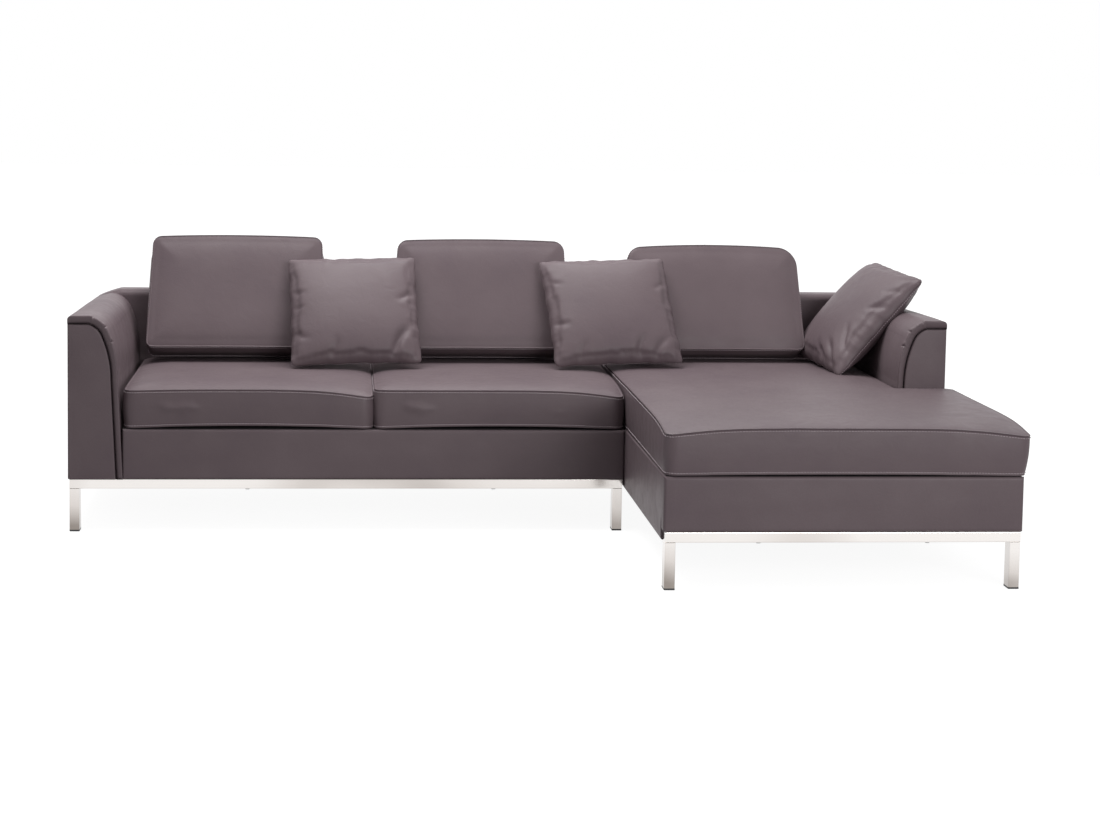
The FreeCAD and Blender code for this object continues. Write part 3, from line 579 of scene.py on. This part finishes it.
def sidePanel(node, outward, stepsUp=False):
    # the lower edge reaches down between the rails, the upper edge may step up at the back
    low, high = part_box(node)
    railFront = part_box("chaise_front_rail" if low.y < -0.5 else "sofa_front_rail")[1].y
    railBack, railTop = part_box("sofa_rear_rail")[0].y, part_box("sofa_rear_rail")[1].z
    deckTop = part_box("sofa_front_border")[1].z if stepsUp else high.z
    corners = [railFront, railBack] + [back["frontFace"]] * stepsUp
    steps = [corner + gap for corner in corners for gap in (-cover["jump"], cover["jump"])]
    place = edgeSpaced(low.y, high.y, cover["step"], cover["roll"])
    place = np.sort(np.concatenate([place, steps]))
    lows = np.where((place > railFront) & (place < railBack), low.z, railTop)
    highs = np.where(place > back["frontFace"], high.z, deckTop)
    coveredPanel(node, place, lows, highs, 1, outward)


sidePanel("left_arm_outer_cover", -1)
evenPanel("right_arm_outer_cover", 1, 1)
sidePanel("chaise_left_cover", -1, True)
sidePanel("chaise_right_cover", 1)
sidePanel("sofa_end_cover", 1, True)
for word in ("sofa", "chaise"):
    evenPanel(word + "_rear_cover", 0, 1)
    evenPanel(word + "_front_border", 0, -1, roll=0.008, puff=0.002)
print("covers made")


# cushions

def cornerRound(x, y, cornerX, cornerY, signX, signY, radius):
    # squares the corner off onto a quarter disc: the ellipse mapping of the unit square
    u = (signX * (x - cornerX) + radius) / radius
    v = (signY * (y - cornerY) + radius) / radius
    inside = (u > 0) & (v > 0)
    u, v = np.clip(u, 0, 1), np.clip(v, 0, 1)
    newX = cornerX + signX * radius * (u * np.sqrt(1 - v * v / 2) - 1)
    newY = cornerY + signY * radius * (v * np.sqrt(1 - u * u / 2) - 1)
    return np.where(inside, newX, x), np.where(inside, newY, y)


def planLine(length, step, cut):
    # even grid lines from 0 to length, with one of them exactly on the cut
    first = np.linspace(0, length - cut, round((length - cut) / step) + 1)
    if cut == 0:
        return first, len(first) - 1
    rest = np.linspace(length - cut, length, round(cut / step) + 1)[1:]
    return np.concatenate([first, rest]), len(first) - 1


def cushionPlan(look):
    # the plan with rounded corners, drawn-in sides, taper and arched far side
    width, depth, step = look["width"], look["depth"], look["step"]
    cutX, cutY = look["notch"]
    x, cutI = planLine(width, step, cutX)
    y, cutJ = planLine(depth, step, cutY)
    flatX, flatY = np.meshgrid(x, y, indexing="ij")
    planX, planY = flatX.copy(), flatY.copy()
    places = [(0, 0, -1, -1), (width, 0, 1, -1), (0, depth, -1, 1), (width, depth - cutY, 1, 1)]
    if cutX:
        places.append((width - cutX, depth, 1, 1))
    for place, radius in zip(places, look["corners"]):
        planX, planY = cornerRound(planX, planY, *place, radius)
    toCut = np.hypot(np.maximum(width - cutX - flatX, 0), np.maximum(depth - cutY - flatY, 0))
    rim = np.minimum(np.minimum(flatX, width - flatX), np.minimum(flatY, depth - flatY))
    rim = np.minimum(rim, toCut) if cutX else rim
    runX, runY = flatX / width, flatY / depth
    planX += look["draw"] * 4 * runY * (1 - runY) * ((1 - runX) ** 4 - runX ** 4)
    planY += look["draw"] * 4 * runX * (1 - runX) * ((1 - runY) ** 4 - runY ** 4)
    planX = width / 2 + (planX - width / 2) * (1 - look["taper"] * planY / depth)
    planY += look["arch"] * (1 - (2 * planX / width - 1) ** 2) * np.clip(runY, 0, 1) ** 3
    return planX, planY, runX, runY, rim, cutI, cutJ


def rimRings(rows, columns, cutI, cutJ):
    # grid indices round the border, anticlockwise, and those of their neighbours inside it
    index = np.arange(rows * columns).reshape(rows, columns)
    last, lastJ = rows - 1, columns - 1
    ring = np.concatenate([index[:, 0], index[last, 1:cutJ + 1],
                           index[cutI:last, cutJ][::-1], index[cutI, cutJ + 1:],
                           index[:cutI, lastJ][::-1], index[0, 1:lastJ][::-1]])
    i, j = np.divmod(ring, columns)
    insideI = np.where((i == cutI) & (j >= cutJ), cutI - 1, np.clip(i, 1, last - 1))
    insideJ = np.where((j == cutJ) & (i >= cutI), cutJ - 1, np.clip(j, 1, lastJ - 1))
    return ring, insideI * columns + insideJ


def boxedCushion(name, look, finish):
    # A closed grid: top and bottom panels over one plan, boxing rows between their rims. A
    # panel stands crown * (1 - (1 - d / D) ** 3) ** 0.7 proud, d being the distance to its rim.
    planX, planY, runX, runY, rim, cutI, cutJ = cushionPlan(look)
    rows, columns = planX.shape
    rise = (1 - (1 - np.clip(rim / look["crownRun"], 0, 1)) ** 3) ** 0.7
    thick = np.full_like(rise, look["height"])
    for cornerX, cornerY, drop in look["sag"]:
        far = np.hypot((runX - cornerX) * look["width"], (runY - cornerY) * look["depth"])
        thick -= drop * np.exp(-(far / look["sagReach"]) ** 1.5)
    hollow = look["frontLift"] * 4 * runX * (1 - runX) * (1 - runY) ** 6
    top = thick + look["crown"] * rise
    bottom = hollow - look["crownBelow"] * rise
    ring, inside = rimRings(rows, columns, cutI, cutJ)
    panel = gridFaces(rows, columns)
    keepI, keepJ = (k.ravel() for k in np.indices((rows - 1, columns - 1)))
    panel = panel[(keepI < cutI) | (keepJ < cutJ)]
    topPoints = np.stack([planX, planY, top], -1).reshape(-1, 3)
    bottomPoints = np.stack([planX, planY, bottom], -1).reshape(-1, 3)
    count = rows * columns
    levels = np.linspace(0, 1, max(5, round(look["height"] / look["step"]) + 1))[1:-1]
    ringTop, ringBottom = topPoints[ring], bottomPoints[ring]
    along = np.roll(ringTop, -1, 0) - np.roll(ringTop, 1, 0)
    outward = unitRows(np.stack([along[:, 1], -along[:, 0], np.zeros(len(ring))], -1))
    bulge = look["boxingBulge"] * (np.sin(np.pi * levels) ** 0.6)
    share = levels[:, None, None]
    boxing = ringTop * share + ringBottom * (1 - share) + outward * bulge[:, None, None]
    points = np.concatenate([topPoints, bottomPoints, boxing.reshape(-1, 3)])
    n = len(ring)
    rings = [ring + count] + [2 * count + k * n + np.arange(n) for k in range(len(levels))] + [ring]
    walls = [np.stack([a, np.roll(a, -1), np.roll(b, -1), b], -1)
             for a, b in zip(rings, rings[1:])]
    faces = np.concatenate([panel[:, ::-1] + count, panel] + walls)
    remap = pointsKept(len(points), faces)[1]
    piece = meshObject(name, points, faces, finish)
    fixNormals(piece)
    seams = {"Top": (remap[ring], remap[inside], remap[rings[-2]]),
             "Bottom": (remap[ring + count], remap[inside + count], remap[rings[1]])}
    return piece, seams


foam = {"frames": 20, "slide": 0.0012, "dent": 0.0012, "downFrom": 0.95, "downFade": 0.7,
        "onSeam": 0.15, "nearSeam": 0.6}
clothSettings = {"quality": 4, "mass": 0.3, "tension_stiffness": 15.0,
                 "compression_stiffness": 15.0, "bending_stiffness": 3.0, "use_pressure": True}


def fillWithFoam(pieces):
    # Cloth under pressure swells every cover at once. A point then keeps at most its piece's
    # cap of the way it moved outwards, less of a dent or a slide, and stays where it faces
    # down. A seam, which its thread keeps short, takes a small share of all that.
    scene = bpy.context.scene
    for piece, seams, node, look in pieces:
        cloth = piece.modifiers.new("foam", "CLOTH")
        for key, value in clothSettings.items():
            setattr(cloth.settings, key, value)
        cloth.settings.uniform_pressure_force = look["pressure"]
        cloth.settings.effector_weights.gravity = 0
        cloth.collision_settings.use_self_collision = False
        cloth.collision_settings.use_collision = False
        cloth.point_cache.frame_end = foam["frames"]
    for frameNumber in range(1, foam["frames"] + 1):
        scene.frame_set(frameNumber)
    graph = bpy.context.evaluated_depsgraph_get()
    for piece, seams, node, look in pieces:
        swollen = piece.evaluated_get(graph).to_mesh()
        rest, normals = readPoints(piece), readNormals(piece)
        moved = readRows(swollen.vertices, "co") - rest
        outward = np.einsum("ij,ij->i", moved, normals)
        outward *= np.clip((normals[:, 2] + foam["downFrom"]) / foam["downFade"], 0, 1)
        slide = moved - normals * outward[:, None]
        length = np.linalg.norm(slide, axis=1)
        piece.modifiers.clear()
        limit = np.where(outward > 0, look["cap"], foam["dent"])
        kept = limit * np.tanh(outward / limit)
        slide *= (foam["slide"] * np.tanh(length / foam["slide"])
                  / np.maximum(length, tiny))[:, None]
        share = np.ones(len(rest))
        for ring, inside, beside in seams.values():
            for line in (inside, beside):
                if line is not None:
                    share[line] = foam["nearSeam"]
            share[ring] = foam["onSeam"]
        writePoints(piece, rest + (normals * kept[:, None] + slide) * share[:, None])
        print("  ", piece.name, "swelled", round(float(kept.max()) * 1000, 1), "mm")
    scene.frame_set(1)


def creased(a, b, creases, size):
    # Folds across a panel: along each, a valley -depth * exp(-(d / w) ** 2) with a lip beside
    # it, fading towards both ends; starts and ends are in the panel's -1 to 1 coordinates.
    height = np.zeros_like(a)
    for startA, startB, endA, endB, depth, wide in creases:
        start = np.array([startA, startB]) * size / 2
        run = np.array([endA, endB]) * size / 2 - start
        length = np.linalg.norm(run)
        run /= length
        x, y = a * size[0] / 2 - start[0], b * size[1] / 2 - start[1]
        along = (x * run[0] + y * run[1]) / length
        side = y * run[0] - x * run[1] + 0.004 * np.sin(along * 5.1 + startA * 7)
        fade = np.clip(along + 0.25, 0, 1) * np.clip(1.2 - along, 0, 1) * 1.9
        fade = np.clip(fade, 0, 1) ** 1.5
        height += depth * fade * (0.22 * np.exp(-((side - 1.7 * wide) / (1.3 * wide)) ** 2)
                                  - np.exp(-(side / wide) ** 2))
    return height


def knifePillow(name, look, finish):
    # Two panels that meet in one seam. Half thickness is full * ((1 - |a| ** p)(1 - |b| ** p))
    # ** q with a and b from -1 to 1 across the plan; sides drawn in, corners pulled to ears.
    width, height, step = look["width"], look["height"], look["step"]
    u = np.linspace(-1, 1, round(width / step) + 1)
    v = np.linspace(-1, 1, round(height / step) + 1)
    a, b = np.meshgrid(u, v, indexing="ij")
    seed = sum(map(ord, name))
    ear = 1 + look["ear"] * 2 / width * np.abs(a * b) ** 9
    wave = look["wave"] * np.sin(17.0 * a + seed) * np.sin(5.0 * a - seed)
    waveSide = look["wave"] * np.sin(15.0 * b + 2 * seed) * np.sin(4.0 * b + seed)
    planX = a * (width / 2 - look["draw"] * (1 - b * b)) * ear + waveSide * np.abs(a) ** 7
    planY = b * (height / 2 - look["draw"] * (1 - a * a)) * ear + wave * np.abs(b) ** 7
    for signX, signY in ((-1, -1), (1, -1), (-1, 1), (1, 1)):
        planX, planY = cornerRound(planX, planY, signX * width / 2, signY * height / 2,
                                   signX, signY, look["corner"])
    planX += look["shear"] * b * height / 2
    planY += height / 2
    power = look["edgePower"]
    body = (1 - np.abs(a) ** power) * (1 - np.abs(b) ** power)
    body = np.maximum(body, 0) ** look["swellPower"]
    folds = creased(a, b, look["creases"], np.array([width, height]))
    toRim = np.clip(body * 5, 0, 1)
    front = look["full"] * body + folds * toRim
    under = -look["fullBack"] * body
    rows, columns = a.shape
    index = np.arange(rows * columns).reshape(rows, columns)
    ring, inside = rimRings(rows, columns, rows - 1, columns - 1)
    below = index + rows * columns
    below.ravel()[ring] = ring
    panel = gridFaces(rows, columns)
    points = np.concatenate([np.stack([planX, planY, z], -1).reshape(-1, 3)
                             for z in (front, under)])
    faces = np.concatenate([panel, below.ravel()[panel][:, ::-1]])
    used, remap = pointsKept(len(points), faces)
    piece = meshObject(name, points, faces, finish)
    fixNormals(piece)
    rim = np.minimum((1 - np.abs(a)) * width / 2, (1 - np.abs(b)) * height / 2).ravel()
    sideways = (1 - np.abs(a)) * width < (1 - np.abs(b)) * height
    run = np.where(sideways, planY + np.sign(a), planX + 2 + np.sign(b)).ravel()
    edge = np.concatenate([rim, rim])[used], np.concatenate([run, run + 5.3])[used]
    seams = {"Rim": (remap[ring], None, remap[below.ravel()[inside]])}
    return piece, seams, edge


def pucker(piece, rim, run, look):
    # small folds drawn in by the seam: waves along the edge that die away inside it
    length = look["puckerLength"]
    wave = (np.sin(run * math.tau / length + 2.5 * np.sin(run * 11))
            + 0.7 * np.sin(run * math.tau / (length * 0.41) + 1.9 * np.sin(run * 23)))
    patchy = 0.35 + 0.65 * np.sin(run * 9.0 + 0.6) ** 2
    near = np.exp(-(rim / look["puckerReach"]) ** 1.2) * np.clip(rim / 0.008, 0, 1)
    lift = look["puckerDepth"] * wave * near * patchy
    writePoints(piece, readPoints(piece) + readNormals(piece) * lift[:, None])


def leaning(heading, lean, roll):
    # rows that turn points lying flat: rolled in their plane, then leaning towards the heading
    heading, lean, roll = (math.radians(angle) for angle in (heading, lean, roll))
    across = Vector((math.sin(heading), -math.cos(heading), 0))
    slope = Vector((math.cos(heading) * math.sin(lean), math.sin(heading) * math.sin(lean),
                    math.cos(lean)))
    width = across * math.cos(roll) + slope * math.sin(roll)
    rise = slope * math.cos(roll) - across * math.sin(roll)
    return np.array((width, rise, width.cross(rise)))


def seatInto(piece, node, nudge):
    # moves the piece's box over its solid's: middles in X and Y, lowest points in Z
    low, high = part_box(node)
    places = readPoints(piece)
    small, large = places.min(0), places.max(0)
    shift = np.array([(low.x + high.x - small[0] - large[0]) / 2,
                      (low.y + high.y - small[1] - large[1]) / 2, low.z - small[2]])
    writePoints(piece, places + shift + nudge)


seatLook = {"step": 0.012, "height": 0.120, "corners": [0.036] * 5, "draw": 0.002,
            "crown": 0.016, "crownBelow": 0.001, "crownRun": 0.15, "boxingBulge": 0.006,
            "taper": 0.0, "arch": 0.0, "sagReach": 0.12, "frontLift": 0.008, "notch": (0, 0),
            "overhang": 0.0, "armGap": 0.003, "cap": 0.005, "pressure": 4.0,
            "slot": "cushion_leather", "fill": 0.85}
seatCushions = {
    "seat_cushion_left": {"sag": [(0, 0, 0.005), (1, 0, 0.022)]},
    "seat_cushion_right": {"sag": [(0, 0, 0.001), (1, 0, 0.020)]},
    "chaise_cushion": {"sag": [(0, 0, 0.018), (1, 0, 0.021)], "step": 0.014,
                       "height": 0.131, "crown": 0.011, "frontLift": 0.003,
                       "corners": [0.030, 0.026, 0.030, 0.020, 0.020], "overhang": 0.021},
}
backLook = {"lean": (90, 24, 0), "nudge": (0, 0, 0),
            "step": 0.010, "height": 0.108, "draw": 0.002, "crown": 0.019,
            "crownBelow": 0.019, "crownRun": 0.15, "boxingBulge": 0.003, "width": 0.588,
            "taper": 0.044, "sag": [], "sagReach": 0.1, "frontLift": 0.0, "notch": (0, 0),
            "cap": 0.005, "pressure": 4.0, "slot": "cushion_leather", "fill": 0.85}
backCushions = {
    "left": {"depth": 0.386, "arch": 0.009, "corners": [0.022, 0.022, 0.028, 0.028],
             "nudge": (0.003, 0, 0)},
    "middle": {"depth": 0.379, "arch": 0.009, "corners": [0.022, 0.022, 0.034, 0.036]},
    "right": {"depth": 0.360, "arch": 0.015, "corners": [0.022, 0.026, 0.046, 0.064],
              "width": 0.606, "nudge": (0.010, 0, 0)},
}
pillowLook = {"step": 0.0075, "width": 0.428, "height": 0.408, "full": 0.060,
              "fullBack": 0.032, "draw": 0.004, "ear": 0.003, "wave": 0.0024, "cap": 0.005,
              "corner": 0.020, "edgePower": 2.4, "swellPower": 0.48, "nudge": (0, 0, 0),
              "pressure": 5.0, "slot": "pillow_leather", "fill": 0.7,
              "puckerLength": 0.052, "puckerReach": 0.030, "puckerDepth": 0.0013}
# each crease: from (across, up) to (across, up), depth, width
pillows = {
    "left": {"lean": (90, 36, 1.8), "shear": -0.015, "creases": [
        (0.80, -0.42, 0.52, -0.95, 0.014, 0.013), (0.96, 0.20, 0.66, 0.08, 0.007, 0.010),
        (-0.36, -0.97, -0.30, -0.62, 0.006, 0.012), (-0.97, -0.45, -0.72, -0.62, 0.005, 0.010),
        (0.90, 0.80, 0.84, 0.35, 0.005, 0.010), (-0.96, 0.30, -0.74, 0.22, 0.004, 0.008),
        (-0.97, 0.02, -0.78, -0.05, 0.004, 0.008)]},
    "middle": {"lean": (90, 36, 2.3), "shear": -0.060, "creases": [
        (0.30, -0.97, 0.40, -0.60, 0.008, 0.013), (0.78, -0.60, 0.55, -0.95, 0.007, 0.011),
        (-0.62, -0.97, -0.50, -0.66, 0.006, 0.011), (-0.95, -0.25, -0.70, -0.35, 0.005, 0.009),
        (0.95, 0.42, 0.70, 0.30, 0.005, 0.009), (-0.92, 0.55, -0.72, 0.40, 0.004, 0.009)]},
    "right": {"lean": (9, 41, -4.0), "shear": 0.0, "width": 0.440, "height": 0.420,
              "full": 0.072, "fullBack": 0.056, "nudge": (0.018, 0, -0.006), "creases": [
        (0.45, -0.62, 0.80, -0.95, 0.012, 0.011), (0.62, -0.28, 0.90, -0.62, 0.008, 0.010),
        (0.10, -0.70, 0.48, -0.97, 0.006, 0.012), (0.96, 0.30, 0.70, 0.12, 0.006, 0.010),
        (0.95, 0.62, 0.72, 0.50, 0.005, 0.010)]},
}

made = []
pillowEdges = {}
for node, spec in seatCushions.items():
    low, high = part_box(node)
    look = {**seatLook, **spec, "width": high.x - low.x, "depth": high.y - low.y}
    if look["overhang"]:
        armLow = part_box("right_arm_pad")[0]
        look["notch"] = [high[k] - armLow[k] + look["armGap"] for k in (0, 1)]
    piece, seams = boxedCushion(capitalized(node), look, cushionLeather)
    places = readPoints(piece)
    if look["overhang"]:
        beyond = np.clip((places[:, 0] - look["width"]) / look["notch"][0] + 1, 0, 1)
        places[:, 0] += look["overhang"] * beyond * (0.35 + 0.65 * places[:, 2] / look["height"])
    writePoints(piece, places + [low.x, low.y, low.z + look["crownBelow"]])
    made.append((piece, seams, node, look))
for word, spec in backCushions.items():
    node, look = "back_cushion_" + word, {**backLook, **spec}
    piece, seams = boxedCushion(capitalized(node), look, cushionLeather)
    middle = [look["width"] / 2, 0, look["height"] / 2]
    writePoints(piece, readPoints(piece) - middle)
    writePoints(piece, readPoints(piece) @ leaning(*look["lean"]))
    seatInto(piece, node, look["nudge"])
    made.append((piece, seams, node, look))
for word, spec in pillows.items():
    node, look = "throw_pillow_" + word, {**pillowLook, **spec}
    piece, seams, edge = knifePillow(capitalized(node), look, pillowLeather)
    writePoints(piece, readPoints(piece) @ leaning(*look["lean"]))
    seatInto(piece, node, look["nudge"])
    pillowEdges[piece.name] = edge
    made.append((piece, seams, node, look))
print("cushion covers made")
fillWithFoam(made)
print("cushions filled")

for piece, seams, node, look in made:
    if piece.name in pillowEdges:
        pucker(piece, *pillowEdges[piece.name], look)
    finer = piece.modifiers.new("finer", "SUBSURF")
    finer.levels = finer.render_levels = 1
    finishPad(piece, node, node + "_body")
print("cushions placed")


# seams and stitches

stitch = {"pitch": 0.0082, "length": 0.0062, "radius": 0.0010, "fromSeam": 0.0060,
          "lift": 0.0013, "sides": 5, "reach": (-1, -0.6, 0.6, 1.0),
          "taper": (0.15, 1, 1, 0.15), "ahead": 1e-3}
welt = {"radius": 0.0009, "sides": 7}


def frameAlong(ahead):
    # two unit directions square to each direction of travel
    up = np.where(np.abs(ahead[:, 2:]) > 0.9, [[1.0, 0, 0]], [[0, 0, 1.0]])
    across = unitRows(np.cross(ahead, up))
    return across, np.cross(across, ahead)


def spokesAround(ahead, sides):
    # unit spokes square to each direction of travel, in a ring
    across, over = (part[:, None] for part in frameAlong(ahead))
    angle = np.linspace(0, math.tau, sides, endpoint=False)[None, :, None]
    return across * np.cos(angle) + over * np.sin(angle)


def weltAlong(name, line):
    # a round tube carried along a closed line of points
    ahead = unitRows(np.roll(line, -1, 0) - np.roll(line, 1, 0))
    rings = line[:, None] + welt["radius"] * spokesAround(ahead, welt["sides"])
    rings = np.concatenate([rings, rings[:1]])
    faces = gridFaces(len(rings), welt["sides"], wrap=True)
    return meshObject(name, rings.reshape(-1, 3), faces, seamLeather)


def stitchRow(name, line):
    # short tapered threads, one every pitch, lying along a closed line
    closed = np.concatenate([line, line[:1]])
    run = runAlong(closed)
    at = np.arange(stitch["pitch"] / 2, run[-1], stitch["pitch"])
    places, ends = (np.stack([np.interp(at + gap, run, closed[:, k]) for k in range(3)], -1)
                    for gap in (0, stitch["ahead"]))
    ahead = unitRows(ends - places)
    reach = np.array(stitch["reach"]) * stitch["length"] / 2
    fat = np.array(stitch["taper"]) * stitch["radius"]
    sides = stitch["sides"]
    points = (places[:, None, None] + ahead[:, None, None] * reach[None, :, None, None]
              + spokesAround(ahead, sides)[:, None] * fat[None, :, None, None])
    one = gridFaces(len(reach), sides, wrap=True)
    first = len(reach) * sides * np.arange(len(places))
    faces = (one[None] + first[:, None, None]).reshape(-1, 4)
    return meshObject(name, points.reshape(-1, 3), faces, thread)


def sewSeams(piece, seams, node):
    # Each seam is a line of the cover's points. Its welt lies on them, and a row of stitches
    # runs beside it towards each neighbouring line that it is given.
    count = len(piece.data.vertices)
    finished = piece.evaluated_get(bpy.context.evaluated_depsgraph_get()).to_mesh()
    places = readRows(finished.vertices, "co")[:count].astype(float)
    normals = readRows(finished.vertex_normals, "vector")[:count].astype(float)
    for word, (ring, inside, beside) in seams.items():
        pieces = [weltAlong(piece.name + word + "Welt", places[ring])]
        for rowName, other in (("Panel", inside), ("Boxing", beside)):
            if other is None:
                continue
            toward = places[other] - places[ring]
            far = np.linalg.norm(toward, axis=1, keepdims=True)
            share = stitch["fromSeam"] / np.maximum(far, stitch["fromSeam"])
            lean = normals[ring] * (1 - share) + normals[other] * share
            line = places[ring] + toward * share + lean * stitch["lift"]
            pieces.append(stitchRow(piece.name + word + rowName + "Stitches", line))
        for part in pieces:
            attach(part, node + "_body")


bpy.context.view_layer.update()
for piece, seams, node, look in made:
    sewSeams(piece, seams, node)
print("seams sewn")


# floor, light and camera

studio = {
    "floor": "#787878", "floorGlow": 0.92, "glowFrom": 1.7, "glowTo": 3.6, "floorSize": 30.0,
    "sky": 0.23, "roughness": 0.9, "aim": (0, 0, 0.35),
    "lamps": {"top": ((-0.4, 0.5, 3.6), (3.4, 2.2), 148.0),
              "front": ((2.4, -5.6, 1.8), (3.0, 2.0), 160.0)},
}


def backdropRays(tree):
    # 1 where the camera, a reflection or a clear material looks at the floor or sky
    rays = addNode(tree, "LightPath").outputs
    seen = mathOf(tree, "MAXIMUM", rays["Is Camera Ray"], rays["Is Glossy Ray"])
    return mathOf(tree, "MAXIMUM", seen, rays["Is Transmission Ray"])


def whiteFloor():
    # its glow grows to full white away from the object, so no horizon shows
    material, tree, shader, place = newMaterial("studioFloor")
    away = addNode(tree, "VectorMath", {"operation": "LENGTH"}, {0: place}).outputs["Value"]
    glow = mapRange(tree, away, (studio["glowFrom"], studio["glowTo"]), (studio["floorGlow"], 1.0))
    setInputs(tree, shader, {
        "Base Color": linearColor(studio["floor"]), "Roughness": studio["roughness"],
        "Emission Color": (1, 1, 1, 1),
        "Emission Strength": mathOf(tree, "MULTIPLY", backdropRays(tree), glow)})
    size = studio["floorSize"]
    grid = np.array([[[-size, -size, 0], [-size, size, 0]], [[size, -size, 0], [size, size, 0]]])
    floor = meshObject("studioFloor", grid.reshape(-1, 3), gridFaces(2, 2)[:, ::-1], material)


def studioLight():
    world = bpy.data.worlds.new("studio")
    bpy.context.scene.world = world
    world.use_nodes = True
    sky = world.node_tree
    sky.nodes.clear()
    plain, white = (addNode(sky, "Background", inputs={
        "Color": (1, 1, 1, 1), "Strength": strength}).outputs[0]
        for strength in (studio["sky"], 1.0))
    mixed = addNode(sky, "MixShader", inputs={0: backdropRays(sky), 1: plain, 2: white})
    addNode(sky, "OutputWorld", inputs={"Surface": mixed.outputs[0]})
    for name, (where, size, power) in studio["lamps"].items():
        lamp = bpy.data.lights.new(name, "AREA")
        lamp.shape = "RECTANGLE"
        lamp.size, lamp.size_y = size
        lamp.energy = power
        holder = bpy.data.objects.new(name, lamp)
        holder.location = where
        aim = Vector(studio["aim"]) - Vector(where)
        holder.rotation_euler = aim.to_track_quat("-Z", "Y").to_euler()
        bpy.context.scene.collection.objects.link(holder)


view = {"place": (-0.547, -6.625, 1.366), "turnRight": 4.63, "down": 5.0, "roll": 0.0148,
        "sensor": 36, "lens": 70.74, "shift": (0.0355, -0.1213)}


def placeCamera():
    camera = bpy.data.cameras.new("view")
    camera.sensor_width = view["sensor"]
    camera.lens = view["lens"]
    camera.shift_x, camera.shift_y = view["shift"]
    holder = bpy.data.objects.new("view", camera)
    turn = (Matrix.Rotation(-math.radians(view["turnRight"]), 4, "Z")
            @ Matrix.Rotation(math.radians(90 - view["down"]), 4, "X")
            @ Matrix.Rotation(view["roll"], 4, "Z"))
    holder.matrix_world = Matrix.Translation(view["place"]) @ turn
    bpy.context.scene.collection.objects.link(holder)
    bpy.context.scene.camera = holder


whiteFloor()
studioLight()
placeCamera()
bpy.context.scene.view_settings.view_transform = "Standard"
print("scene ready")
